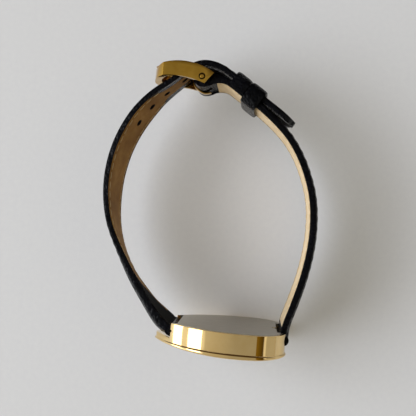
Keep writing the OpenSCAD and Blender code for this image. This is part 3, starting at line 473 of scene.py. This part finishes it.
# ---------------------------------------------------------------- crown
# The crown is turned from brass, fluted for the fingertips and plated like the case.
crown = copy_of("crown", "crown_plated", case_gold, 0.03, 1)
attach(crown, "crown")

# ---------------------------------------------------------------- strap leather
# Both strap pieces are black calf over a filler, turned over at the edges, which are painted black.
# Each is folded round its spring bar at the case; the holed piece ends in a rounded tip.
# A place on either is given by s, the length along its outer face from the case on, in mm.
STRAP_W, BUCKLE_W = 12.2, 10.8
LONG_T_CASE, LONG_T_MID, LONG_T_TAIL, LOOP_SWELL, TAIL_FROM = 2.2, 1.5, 1.55, 0.6, 68.9
SHORT_T_CASE, SHORT_T_END, TIP_LEN = 2.0, 1.8, 5.0
LINING_T, LINING_MARGIN, COVERED_MARGIN = 0.4, 0.3, 2.5
TAIL_TURN, TAIL_AT, TAIL_LEN, LAYER = math.radians(-34.5), Vector((-2.2, 56.4)), 16.8, 1.7
BAR_AT, BAR_HOLE_R, FOLD_R, EAR_HALF, EAR_R = Vector((-9.93, 54.93)), 0.65, 2.05, 0.95, 2.3
LUG_6, LUG_12, LOOP_R, LUG_HOLE_R = (-12.65, -1.75), (12.3, -1.7), 1.2, 0.52


def tail_point(d, depth=0.0):
    """Point at a distance along the straight end of the strap and a depth below its outer face."""
    along = Vector((math.cos(TAIL_TURN), math.sin(TAIL_TURN)))
    return TAIL_AT + d * along - depth * Vector((-along.y, along.x))


LONG_ROUTE = [(-12.85, -2.95), (-14.6, -2.5), (-16.7, -1), (-19.66, 2.54), (-23.9, 8.45), (-27.1, 14.7),
    (-29.3, 20.8), (-30.15, 26.96), (-29.9, 33.07), (-28.43, 39.34), (-25.66, 45.35), (-21.7, 50.7),
    (-17.1, 54.9), (-13.5, 57.9), (-9.8, 59.25), (-6, 58.6), tail_point(0), tail_point(5), tail_point(10.5),
    tail_point(TAIL_LEN)]
SHORT_ROUTE = [(LUG_12[0] + LOOP_R, -1.9), (13.8, 1.2), (15.2, 5.9), (16.7, 11.5), (17.75, 17.4), (18.1, 23),
    (17.7, 28.6), (16.5, 33.5), (14.3, 38.75), (11.6, 43.05), (8.5, 46.4), tail_point(9.5, LAYER),
    tail_point(5, LAYER), tail_point(0, LAYER), (-6.6, 56.55), (BAR_AT.x, BAR_AT.y + FOLD_R)]
LONG_TWIST = [(0, 0), (4, 0), (10, -5.5), (17, -9), (21, -9), (25, -6), (31, 0), (37, 4.5), (44, 7.5), (51, 9),
    (58, 9), (63, 5), (68, 0), (120, 0)]  # (s, degrees)


def trace(route, side, steps=12):
    """Smooth curve through a route: for each station its place, inward normal and length run so far."""
    route = [Vector(p) for p in route]
    last = len(route) - 2
    stations, run = [], 0.0
    for i in range(last + 1):
        a, b, c, d = (route[j] for j in (max(i - 1, 0), i, i + 1, min(i + 2, last + 1)))
        for t in [j / steps for j in range(steps)] + ([1.0] if i == last else []):
            bend, change = 2 * a - 5 * b + 4 * c - d, 3 * b - a - 3 * c + d
            at = 0.5 * (2 * b + (c - a) * t + bend * t**2 + change * t**3)
            go = (c - a) + 2 * bend * t + 3 * change * t**2
            run += (at - stations[-1][0]).length if stations else 0.0
            stations.append((at, side * Vector((go.y, -go.x)).normalized(), run))
    return stations


def ease(x):
    """Soft step from 0 to 1."""
    x = max(0.0, min(1.0, x))
    return x * x * (3 - 2 * x)


def mix(a, b, x):
    """Value from a to b."""
    return a + (b - a) * x


long_line, short_line = trace(LONG_ROUTE, 1), trace(SHORT_ROUTE, -1)
LONG_LEN, SHORT_LEN = long_line[-1][2], short_line[-1][2]


def long_thick(s):
    """Thickness of the holed piece: thick over the loop, thin in the middle, pared at both ends."""
    body = mix(LONG_T_CASE, LONG_T_MID, ease((s - 9) / 17)) + LOOP_SWELL * (1 - ease((s - 4) / 6))
    body = mix(body, LONG_T_TAIL, ease((s - TAIL_FROM) / 8))
    return body * mix(0.85, 1, ease(s / 3)) * mix(0.7, 1, ease((LONG_LEN - s) / 1.5))


def long_half(s):
    """Half the width of the holed piece, which ends in a rounded tip."""
    d = max(0.0, s - LONG_LEN + TIP_LEN) / TIP_LEN
    return mix(STRAP_W, BUCKLE_W, ease(s / 75)) / 2 * math.sqrt(max(0.08, 1 - d * d))


def long_twist(s):
    """Angle that the holed piece is twisted by: where positive, its near edge stands further out."""
    total = 0.0
    for at in (s - 2, s, s + 2):
        at = max(0.0, at)
        (low, before), (high, after) = next(p for p in zip(LONG_TWIST, LONG_TWIST[1:]) if at <= p[1][0])
        total += mix(before, after, (at - low) / (high - low))
    return math.radians(total / 3)


def short_thick(s):
    """Thickness of the buckle piece, which swells to the fold round the buckle's bar."""
    return mix(mix(SHORT_T_CASE, SHORT_T_END, ease(s / 50)), 2 * FOLD_R, ease((s - SHORT_LEN + 7) / 7))


def short_half(s):
    """Half the width of the buckle piece."""
    return mix(STRAP_W, BUCKLE_W, ease(s / 65)) / 2


LONG_LINED_FROM, SHORT_LINED_FROM, SHORT_LINED_TO, COVERED_FROM = 4.5, 2.6, short_line[165][2], 60.0
SEAM_IN, SEAM_W, SEAM_DEEP = 1.15, 0.35, 0.1


def long_margin(s):
    """How far the lining lies inside the holed piece's edge: further where this covers the buckle piece."""
    return mix(LINING_MARGIN, COVERED_MARGIN, ease((s - COVERED_FROM) / 6))


def long_drop(s):
    """How far the holed piece's outer edges lie below its middle, as a share of the thickness."""
    return mix(0.38, 0.2, ease((s - 9) / 17))


def short_drop(s):
    """The same for the buckle piece."""
    return mix(0.38, 0.25, ease(s / 20))


def crown_of(w, half, thick, drop):
    """Depth of the outer face at a distance w from the middle: crowned, dipping at the seam and the edge."""
    u = abs(w) / half
    face = drop * thick * max(0.0, (u - 0.42) / 0.58) ** 2.6
    return face + SEAM_DEEP * math.exp(-(((abs(w) - half + SEAM_IN) / SEAM_W) ** 2))


def leather_ring(half, thick, drop, lined, margin=LINING_MARGIN):
    """Cross-section of the leather, turned over at both edges: (across, depth) points round it."""
    over = [half * (1 - 0.05 * k) for k in range(0, 12)] + [half * k / 8 for k in (3, 2, 1)]
    over = over + [0.0] + [-w for w in reversed(over)]
    edge, inner = drop * thick, half - min(margin, 0.45 * half)
    rim = [(inner, thick - (LINING_T if lined else 0.03)), (inner, thick - 0.02), (half - 0.12, thick),
        (half + 0.02, thick - 0.14), (half + 0.05, (edge + thick) / 2), (half, edge + 0.1)]
    top = [(w if abs(w) < half else math.copysign(half - 0.08, w), crown_of(w, half, thick, drop))
        for w in over]
    return rim + top + [(-w, d) for w, d in reversed(rim)]


def lining_ring(half, thick, margin=LINING_MARGIN):
    """Cross-section of the lining: flat, with its cut edges eased, between the turned edges."""
    half, high, low = half - min(margin, 0.45 * half) - 0.02, thick - LINING_T, thick - 0.03
    return [(half, high), (half, low - 0.08), (half - 0.1, low)] + [
        (half * k / 4, low) for k in (3, 2, 1, 0, -1, -2, -3)] + [
        (-half + 0.1, low), (-half, low - 0.08), (-half, high)] + [(half * k / 4, high) for k in (-2, 0, 2)]


def straight(s, across, depth):
    """Point of the buckle piece's section, which isn't twisted."""
    return across, depth


def twisted(s, across, depth):
    """Point of the holed piece's section at s, turned about the section's middle by the twist."""
    angle, middle = long_twist(s), long_thick(s) / 2
    return (across * math.cos(angle) + (depth - middle) * math.sin(angle),
        middle + (depth - middle) * math.cos(angle) - across * math.sin(angle))


def strip(line, ring, turn=straight):
    """Points and faces of a skin whose cross-section ring(s) follows a line of stations."""
    return loft([[Vector((at.x + inward.x * d, at.y + inward.y * d, w)) * MM
        for w, d in (turn(s, *q) for q in ring(s))] for at, inward, s in line])


def black_calf(tree, mm):
    """Finished black calf with a waxed shine. Its grain cells, 0.9 mm, are coarser than real ones, to show."""
    cells = add(tree, "TexVoronoi", {"Vector": mm, "Scale": 1.1}, feature="DISTANCE_TO_EDGE")
    folds = add(tree, "TexNoise", {"Vector": mm, "Scale": 0.9, "Detail": 1.0, "Roughness": 0.5}).outputs["Fac"]
    crease = spread(tree, cells.outputs["Distance"], 0.0, 0.3)
    height = add(tree, "Math", {0: crease, 1: 0.4, 2: folds}, operation="MULTIPLY_ADD").outputs["Value"]
    bump = add(tree, "Bump", {"Height": height, "Strength": 1.0, "Distance": 0.24 * MM}).outputs["Normal"]
    worn = add(tree, "TexNoise", {"Vector": mm, "Scale": 0.15, "Detail": 3.0}).outputs["Fac"]
    return {"Base Color": ramp(tree, worn, (0.35, "#040508"), (0.7, "#090A10")), "Normal": bump,
        "Roughness": spread(tree, worn, 0.3, 0.7, 0.12, 0.2), "IOR": 1.2}


calf = finish_of("waxed_black_calf", black_calf)
HOLE_R, HOLE_PITCH, HOLES, TANG_HOLE, TANG_HOLE_AT, HOLE_REACH = 0.7, 5.0, 7, 2, 75.17, 4


def inked_edge(tree, mm):
    """Black ink rubbed into the cut edge of a punched hole, matt."""
    grain = add(tree, "TexNoise", {"Vector": mm, "Scale": 6.0}).outputs["Fac"]
    return {"Base Color": ramp(tree, grain, (0.3, "#050506"), (0.7, "#0C0C0E")), "Roughness": 0.7, "IOR": 1.2}


def station_at(line, s):
    """Place and inward normal at a length along a line."""
    return min(line, key=lambda station: abs(station[2] - s))[:2]


def tube(start, end, outer, inner, sides=24):
    """Points and faces of a tube between two points in mm."""
    start, end = Vector(start) * MM, Vector(end) * MM
    turn = (end - start).to_track_quat("Z", "Y")
    rings = []
    for i in range(sides + 1):
        out = turn @ Vector((math.cos(math.tau * i / sides), math.sin(math.tau * i / sides), 0)) * MM
        rings.append([start + out * outer, end + out * outer, end + out * inner, start + out * inner])
    return loft(rings, capped=False)


def in_hole(s, depth):
    """Point on the axis of the hole at s, at a depth below the outer face."""
    at, inward = station_at(long_line, s)
    w, d = twisted(s, 0, depth)
    return (*(at + inward * d), w)


holes, hole_edges = [], []
for i in range(HOLES):
    s = TANG_HOLE_AT + (TANG_HOLE - i) * HOLE_PITCH
    holes.append(rod(in_hole(s, -HOLE_REACH), in_hole(s, HOLE_REACH), HOLE_R, 24))
    if i != TANG_HOLE:
        hole_edges.append(tube(in_hole(s, 0.2), in_hole(s, long_thick(s) + 0.02), HOLE_R + 0.1, HOLE_R - 0.04))

# The tang's hole is torn to a slit: it leaves room for all that the tang sweeps as buckle and tang lift
TANG_ROUTE = [(-0.9, 0.7), (-1.9, 0.95), (-3.4, 1.6), (-5.2, 2.75), (-7.4, 3.55), (-9.6, 3.45), (-11.2, 2.55)]
LIFT, SLIT_HALF, SLIT_CLEAR = math.radians(8), 0.9, 0.55
tang_line = trace(TANG_ROUTE, -1, 8)


def turned(p, angle):
    """Point near the buckle's bar, turned about it from the bar's own frame to the part's."""
    c, si = math.cos(angle), math.sin(angle)
    return Vector((p.x * c - p.y * si, p.x * si + p.y * c)) + BAR_AT


under = [turned(at + inward * SLIT_CLEAR, 0) for at, inward, s in tang_line]
above = [turned(at - inward * SLIT_CLEAR, -LIFT) for at, inward, s in tang_line]
slit = loft([[Vector((*p, z)) * MM for p in under + above[::-1]] for z in (-SLIT_HALF, SLIT_HALF)])


def fuse(thing, extras):
    """Joins closed forms, each points and faces, to a thing."""
    for i, (points, faces) in enumerate(extras):
        tool = mesh_object(f"{thing.name}_extra", points, faces, thing.data.materials[0])
        step = thing.modifiers.new(f"fuse{i}", "BOOLEAN")
        step.object, step.operation, step.solver = tool, "UNION", "EXACT"
        apply_all(thing)
        bpy.data.objects.remove(tool)


def crossing(place, half, radius, sides=32):
    """Points and faces of a rod across the strap, reaching half on either side of its middle."""
    return rod((*place, -half), (*place, half), radius, sides)


LEATHER_ANGLE = 40
long_leather = mesh_object("long_strap_calf", *strip(long_line, lambda s: leather_ring(long_half(s),
    long_thick(s), long_drop(s), s > LONG_LINED_FROM, long_margin(s)), twisted), calf)
fuse(long_leather, [crossing(LUG_6, STRAP_W / 2, LOOP_R, 48)])
cut(long_leather, [crossing(LUG_6, THROUGH, LUG_HOLE_R), slit] + holes)
shade(long_leather, LEATHER_ANGLE)
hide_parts("long_strap_leather")

short_leather = mesh_object("short_strap_calf", *strip(short_line,
    lambda s: leather_ring(short_half(s), short_thick(s), short_drop(s), s > SHORT_LINED_FROM)), calf)
fuse(short_leather, [crossing(LUG_12, STRAP_W / 2, LOOP_R, 48), crossing(BAR_AT, BUCKLE_W / 2, FOLD_R, 64)])
cut(short_leather, [crossing(LUG_12, THROUGH, LUG_HOLE_R), crossing(BAR_AT, THROUGH, BAR_HOLE_R),
    crossing(BAR_AT, EAR_HALF, EAR_R, 64)])
shade(short_leather, LEATHER_ANGLE)
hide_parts("short_strap_leather")
inked = finish_of("inked_hole_edge", inked_edge)
rims = [mesh_object(f"strap_hole_edge_{i}", *edge, inked) for i, edge in enumerate(hole_edges)]
for leather in [long_leather, short_leather] + rims:
    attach(leather, "watch")

# ---------------------------------------------------------------- strap lining
# The lining is tan calf, split thin and glued on inside the edges: on the holed piece painted darker, as shade,
# on the buckle piece paler, as light, and darker still under the tail as painted shadow. Near the case, a flap
# of the holed piece's black leather is turned in over it and narrows to nothing.
PAINTED_SHADOW_FROM, PAST_THE_STRAP = -12.0, 1000.0
FLAP_FROM, FLAP_NARROWS, FLAP_TO, FLAP_MARGIN = 0.1, 9.0, 17.0, 1.6


def tan_calf(dark, middle, light, painted_shadow_from=PAST_THE_STRAP):
    """Tan lining calf with a fine nap, nearly matt: mottled by wear; painted shadow darkens it from a place
    along x on.
    """
    def build(tree, mm):
        cloud = add(tree, "TexNoise", {"Vector": mm, "Scale": 0.22, "Detail": 4.0, "Roughness": 0.6})
        nap = add(tree, "TexNoise", {"Vector": mm, "Scale": 5.0, "Detail": 3.0}).outputs["Fac"]
        bump = add(tree, "Bump", {"Height": nap, "Strength": 0.3, "Distance": 0.04 * MM}).outputs["Normal"]
        along = add(tree, "SeparateXYZ", {"Vector": mm}).outputs["X"]
        # Painted shadow: the lining darkens towards deep brown from this place along x on, where it lies in
        # shade under the tail and buckle.
        painted_shadow = spread(tree, along, painted_shadow_from, painted_shadow_from + 3)
        tone = ramp(tree, cloud.outputs["Fac"], (0.3, dark), (0.55, middle), (0.75, light))
        tone = add(tree, "MixRGB", {"Fac": painted_shadow, "Color1": tone, "Color2": linear("#1C130B")})
        return {"Base Color": tone.outputs["Color"], "Normal": bump, "Roughness": 0.7,
            "Sheen Weight": 0.04, "Specular IOR Level": 0.12}
    return build


# Painted shade and light: one tan calf in two tones, darker for the holed piece's shaded lining, paler for the
# buckle piece's lit one.
shade_painted_tan = finish_of("shade_painted_tan_calf", tan_calf("#7C5826", "#906A34", "#A47D46", PAINTED_SHADOW_FROM))
light_painted_tan = finish_of("light_painted_tan_calf", tan_calf("#CDB48C", "#DAC39D", "#E2CDAB"))
long_lining = mesh_object("long_strap_lining_calf", *strip([q for q in long_line if q[2] > LONG_LINED_FROM],
    lambda s: lining_ring(long_half(s), long_thick(s), long_margin(s)), twisted), shade_painted_tan)
cut(long_lining, [slit] + holes)
shade(long_lining, LEATHER_ANGLE)
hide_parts("long_strap_lining")
short_lining = mesh_object("short_strap_lining_calf", *strip(
    [q for q in short_line if SHORT_LINED_FROM < q[2] <= SHORT_LINED_TO],
    lambda s: lining_ring(short_half(s), short_thick(s))), light_painted_tan)
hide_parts("short_strap_lining")
for lining in (long_lining, short_lining):
    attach(lining, "watch")


def suede_side(tree, mm):
    """Rough side of black calf, matt."""
    nap = add(tree, "TexNoise", {"Vector": mm, "Scale": 5.0, "Detail": 3.0}).outputs["Fac"]
    bump = add(tree, "Bump", {"Height": nap, "Strength": 0.3, "Distance": 0.05 * MM}).outputs["Normal"]
    return {"Base Color": ramp(tree, nap, (0.3, "#060607"), (0.7, "#0E0E10")), "Normal": bump,
        "Roughness": 0.9, "IOR": 1.2}


def flap_ring(s):
    """Cross-section of the flap: nearly the full width at the case, then narrowing to the near edge."""
    half, thick = long_half(s), long_thick(s)
    margin = FLAP_MARGIN if s > LONG_LINED_FROM else LINING_MARGIN
    end = mix(margin - half, half - 0.7, ease((s - FLAP_NARROWS) / (FLAP_TO - FLAP_NARROWS)))
    start, low, high = half - LINING_MARGIN - 0.02, thick - 0.05, thick + 0.02
    return [(start, low), (start, high), (end, high), (end, low)]


flap = mesh_object("long_strap_turned_edge", *strip([q for q in long_line if FLAP_FROM < q[2] < FLAP_TO],
    flap_ring, twisted), finish_of("black_calf_rough_side", suede_side), LEATHER_ANGLE)
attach(flap, "watch")

# ---------------------------------------------------------------- strap stitching
# A row of waxed polyester thread runs along each edge through leather and lining: black on the outside,
# tan on the inside. The holes are 2.2 mm apart, and the thread pulls in at each.
STITCH_PITCH, STITCH_LEN, STITCH_STEPS, THREAD_R, THREAD_SIDES = 2.2, 1.6, 6, 0.13, 6


def waxed_thread(pale, dark):
    """Twisted polyester thread with a waxy shine, two plies to the turn."""
    def build(tree, mm):
        plies = add(tree, "TexWave", {"Vector": mm, "Scale": 2.4, "Distortion": 0.6}).outputs["Fac"]
        bump = add(tree, "Bump", {"Height": plies, "Strength": 0.4, "Distance": 0.03 * MM}).outputs["Normal"]
        return {"Base Color": ramp(tree, plies, (0.2, dark), (0.8, pale)), "Roughness": 0.45, "Normal": bump}
    return build


def point_on(line, s):
    """Place and inward normal at a length along a line, between its stations."""
    k = max(1, next((k for k, q in enumerate(line) if q[2] >= s), len(line) - 1))
    (at, inward, low), (after, inward_after, high) = line[k - 1], line[k]
    f = (s - low) / (high - low)
    return at.lerp(after, f), inward.lerp(inward_after, f)


def stitch_rows(name, line, start, end, across, depth, side, material, turn):
    """Two rows of stitches on one face; side is -1 on the outer face and 1 on the lining."""
    stitches = []
    s = start
    while s + STITCH_LEN < end:
        for edge in (-1, 1):
            rings = []
            for k in range(STITCH_STEPS + 1):
                run = s + STITCH_LEN * k / STITCH_STEPS
                at, inward = point_on(line, run)
                rise = THREAD_R * (1 - 2.4 * abs(2 * k / STITCH_STEPS - 1) ** 3)
                deep, out = depth(run) + side * rise * 0.3, edge * across(run)
                round_it = [turn(run, out + THREAD_R * math.sin(a), deep + THREAD_R * math.cos(a))
                    for a in (math.tau * j / THREAD_SIDES for j in range(THREAD_SIDES))]
                rings.append([Vector((*(at + inward * d), w)) * MM for w, d in round_it])
            stitches.append(loft(rings))
        s += STITCH_PITCH
    rows = mesh_object(name, *together(stitches), material, 80)
    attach(rows, "watch")


black_thread = finish_of("waxed_black_thread", waxed_thread("#24252A", "#0E0F12"))
tan_thread = finish_of("waxed_tan_thread", waxed_thread("#CDB892", "#A98F66"))
for name, line, half, thick, drop, start, covered, end, turn in (
        ("long", long_line, long_half, long_thick, long_drop, FLAP_TO, COVERED_FROM + 5, LONG_LEN - 6, twisted),
        ("short", short_line, short_half, short_thick, short_drop, SHORT_LINED_FROM + 2, SHORT_LINED_TO,
            SHORT_LINED_TO, straight)):
    stitch_rows(f"{name}_strap_outer_stitches", line, start - 4, end, lambda s, h=half: h(s) - SEAM_IN,
        lambda s, h=half, t=thick, d=drop: crown_of(h(s) - SEAM_IN, h(s), t(s), d(s)), -1, black_thread, turn)
    stitch_rows(f"{name}_strap_lining_stitches", line, start + 1, covered,
        lambda s, h=half: h(s) - SEAM_IN - 0.1, lambda s, t=thick: t(s) - 0.03, 1, tan_thread, turn)

# ---------------------------------------------------------------- keepers
# Two bands of the same calf hold the tail down. The fixed one is sewn in between leather and lining at
# the edges; the loose one is a closed loop that slides over both layers.
KEEPER_LEN, KEEPER_T, KEEPER_GAP, KEEPER_HALF, KEEPER_CORNER, STACK = 3.9, 0.65, 0.2, 5.7, 1.1, 3.5
CORNER_STEPS, KEEPER_EDGE, KEEPER_FALL = 8, 0.12, 0.28
FIXED_AT = 2.0
LOOSE_AT = FIXED_AT + KEEPER_LEN + 0.2


def on_tail(d, x, y, z):
    """Point of a keeper: x along the tail from the distance d, y outwards, z across, all in mm."""
    along = Vector((math.cos(TAIL_TURN), math.sin(TAIL_TURN)))
    at = TAIL_AT + (d + x) * along + y * Vector((-along.y, along.x))
    return Vector((*at, z)) * MM


def keeper_path(low, high, open_below):
    """Points (y, z) and outward directions round the keeper's inside, with rounded corners."""
    path, half = [], KEEPER_HALF
    turns = [(high, half, 0), (high, -half, 90), (low, -half, 180), (low, half, 270)]
    for y, z, start in (turns[:2] if open_below else turns):
        cy = y - math.copysign(KEEPER_CORNER, y - (low + high) / 2)
        cz = z - math.copysign(KEEPER_CORNER, z)
        for k in range(CORNER_STEPS + 1):
            a = math.radians(start + 90 * k / CORNER_STEPS)
            out = Vector((math.sin(a), math.cos(a)))
            path.append((Vector((cy, cz)) + KEEPER_CORNER * out, out))
    if open_below:
        path.insert(0, (Vector((low, half)), path[0][1]))
        path.append((Vector((low, -half)), path[-1][1]))
    return path


def keeper(name, d, low, high, open_below):
    """Leather band with eased edges and a slightly crowned face round a keeper's path."""
    end, across = KEEPER_LEN / 2, [k / 6 for k in range(-6, 7)]
    face = [(end * u, KEEPER_T * (1 - KEEPER_FALL * u**6)) for u in across]
    section = [(-end, KEEPER_EDGE)] + face + [(end, KEEPER_EDGE), (end - KEEPER_EDGE, 0), (0, 0),
        (-end + KEEPER_EDGE, 0)]
    rings = [[on_tail(d, x, y + out.x * t, z + out.y * t) for x, t in section]
        for (y, z), out in keeper_path(low, high, open_below)]
    thing = mesh_object(name, *loft(rings + ([] if open_below else [rings[0]]), capped=open_below), calf, 50)
    return thing


fixed = keeper("fixed_keeper_calf", FIXED_AT, -STACK + LINING_T, 0.1, True)
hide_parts("fixed_keeper")
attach(fixed, "watch")
loose = keeper("loose_keeper_calf", LOOSE_AT, -STACK - KEEPER_GAP, KEEPER_GAP, False)
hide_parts("loose_keeper")
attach(loose, "loose_keeper")

# ---------------------------------------------------------------- buckle
# The frame is cast brass, polished and plated a deeper gold than the case. Its bar is sprung into both
# arms, where its ends show in dark seats: discs of painted shade in place of the holes' shaded recesses. The
# tang is a stamped strip that hooks round the bar between the leather's ears.
PIN_ROOT, PIN_R, PIN_PROUD, SEAT_R, SEAT_PROUD = 0.1, 0.48, 0.1, 0.75, 0.02
buckle_gold = finish_of("plated_cast_brass", polished_plate("#C39B43", "#B58B35", 0.7))
buckle = copy_of("buckle_frame", "buckle_frame_plated", buckle_gold, 0.12, 3)
ARM_OUT = max(v.co.z for v in buckle.data.vertices) / MM
# Painted shade: a dark disc round each pin end stands in for the shade in the hole that it sits in.
seat_painted_shade = finish_of("painted_shade_in_the_pin_seat", brushed_steel("#2A1E10", "#1A120A"))


def in_arm(side, radius, proud):
    """Points and faces of a short rod in one arm's outer face, standing proud of it."""
    return rod((*BAR_AT, side * (ARM_OUT - PIN_ROOT)), (*BAR_AT, side * (ARM_OUT + proud)), radius)


for side, word in ((1, "near"), (-1, "far")):
    seat = mesh_object(f"pin_seat_{word}", *in_arm(side, SEAT_R, SEAT_PROUD), seat_painted_shade)
    end = mesh_object(f"pin_end_{word}", *in_arm(side, PIN_R, PIN_PROUD), buckle_gold)
    soften(end, 0.1, 3)
    for thing in (seat, end):
        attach(thing, "buckle")
bar = copy_of("buckle_bar", "buckle_bar_plated", buckle_gold, 0.05, 2)
for thing in (buckle, bar):
    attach(thing, "buckle")
tang = copy_of("tang", "tang_plated", buckle_gold, 0.08, 2)
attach(tang, "tang")

# ---------------------------------------------------------------- table, light and camera
# The closed watch stands on its flank on a pale matt table. Soft daylight and a window's two panes light it
# from the left, and the camera looks down on it, a little off its axis. The room is even and pale as a
# light and as a backdrop; only the metal and the glass see its lighter and darker walls.
low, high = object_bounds()


def matt_table(tree, mm):
    """Matt white laminate with a trace of texture."""
    grain = add(tree, "TexNoise", {"Vector": mm, "Scale": 0.8, "Detail": 4.0}).outputs["Fac"]
    return {"Base Color": ramp(tree, grain, (0.2, "#D3D3D5"), (0.8, "#D7D7D8")), "Roughness": 0.55,
        "Specular IOR Level": 0.3}


bpy.ops.mesh.primitive_plane_add(size=4, location=(0, 0, low.z))
table = bpy.context.object
table.name = "table"
table.data.materials.append(finish_of("matt_laminate_table", matt_table))

world = bpy.data.worlds.new("room")
bpy.context.scene.world = world
world.use_nodes = True
room = world.node_tree
room.nodes.clear()
direction = add(room, "SeparateXYZ", {"Vector": add(room, "TexCoord").outputs["Generated"]})
from_left = spread(room, direction.outputs["X"], -1.0, 1.0)
walls = ramp(room, from_left, (0.0, "#FFFDF6"), (0.14, "#F6F3E9"), (0.155, "#C9C5BA"), (0.29, "#B9B5AA"),
    (0.43, "#A7A49C"), (0.65, "#A29F96"), (0.66, "#806622"), (0.83, "#4A3A12"), (0.8525, "#E8E4DC"),
    (0.8825, "#E8E4DC"), (0.895, "#B4B1A8"))
behind = spread(room, direction.outputs["Y"], 0.3, 0.55)
walls = add(room, "MixRGB", {"Fac": behind, "Color1": walls, "Color2": linear("#4C3C26")}).outputs["Color"]
ray = add(room, "LightPath")
mirrored = add(room, "Math", {0: ray.outputs["Is Glossy Ray"], 1: ray.outputs["Is Transmission Ray"]},
    operation="MAXIMUM").outputs["Value"]
tone = add(room, "MixRGB", {"Fac": mirrored, "Color1": linear("#A29A85"), "Color2": walls}).outputs["Color"]
tone = add(room, "MixRGB", {"Fac": ray.outputs["Is Camera Ray"], "Color1": tone, "Color2": linear("#D6D6D6")})
glow = add(room, "Background", {"Color": tone.outputs["Color"], "Strength": 1.0})
add(room, "OutputWorld", {"Surface": glow.outputs["Background"]})


def lamp(name, kind, place, towards, strength, colour, **settings):
    """Lamp of one kind that shines from a place to another, both in metres."""
    light = bpy.data.lights.new(name, kind)
    light.energy, light.color = strength, linear(colour)[:3]
    for key, value in settings.items():
        setattr(light, key, value)
    thing = bpy.data.objects.new(name, light)
    bpy.context.scene.collection.objects.link(thing)
    thing.location = place
    thing.rotation_euler = (Vector(towards) - Vector(place)).to_track_quat("-Z", "Y").to_euler()
    return thing


daylight = lamp("daylight", "SUN", (-0.78, 0.0, 0.62), (0, 0, 0), 2.6, "#EAF1FF", angle=math.radians(60))
daylight.visible_glossy = False
WINDOW_X, WINDOW_Y, WINDOW_W, PANE_RADIANCE = -0.66, -0.13, 0.7, 3.0
for name, sill, head in (("lower_pane", -0.02, 0.155), ("upper_pane", 0.27, 0.58)):
    centre = (sill + head) / 2
    lamp(name, "AREA", (WINDOW_X, WINDOW_Y, centre), (0, WINDOW_Y, centre),
        PANE_RADIANCE * math.pi * WINDOW_W * (head - sill), "#F8FBFF",
        shape="RECTANGLE", size=WINDOW_W, size_y=head - sill)

# Straight down from the camera falls at NADIR, right of and below the picture's middle
PICTURE_PX, SENSOR = 416, 36.0
FOCAL_PX, EYE, ROLL = 641.0, Vector((4.21, 23.43, 147.5)) * MM, 0.077
NADIR = Vector((47.0, 15.0)) / FOCAL_PX
right = Vector((1, ROLL, 0)).normalized()
up = Vector((-right.y, right.x, 0))
back_way = (Vector((0, 0, 1)) + NADIR.x * right - NADIR.y * up).normalized()
right = (right - right.dot(back_way) * back_way).normalized()
up = back_way.cross(right)
lens = bpy.data.cameras.new("camera")
lens.sensor_width, lens.lens = SENSOR, FOCAL_PX / PICTURE_PX * SENSOR
lens.clip_start, lens.clip_end = 0.001, 10.0
camera = bpy.data.objects.new("camera", lens)
bpy.context.scene.collection.objects.link(camera)
camera.matrix_world = Matrix((right, up, back_way)).transposed().to_4x4()
camera.location = EYE
bpy.context.scene.camera = camera
bpy.context.scene.view_settings.view_transform = "Standard"
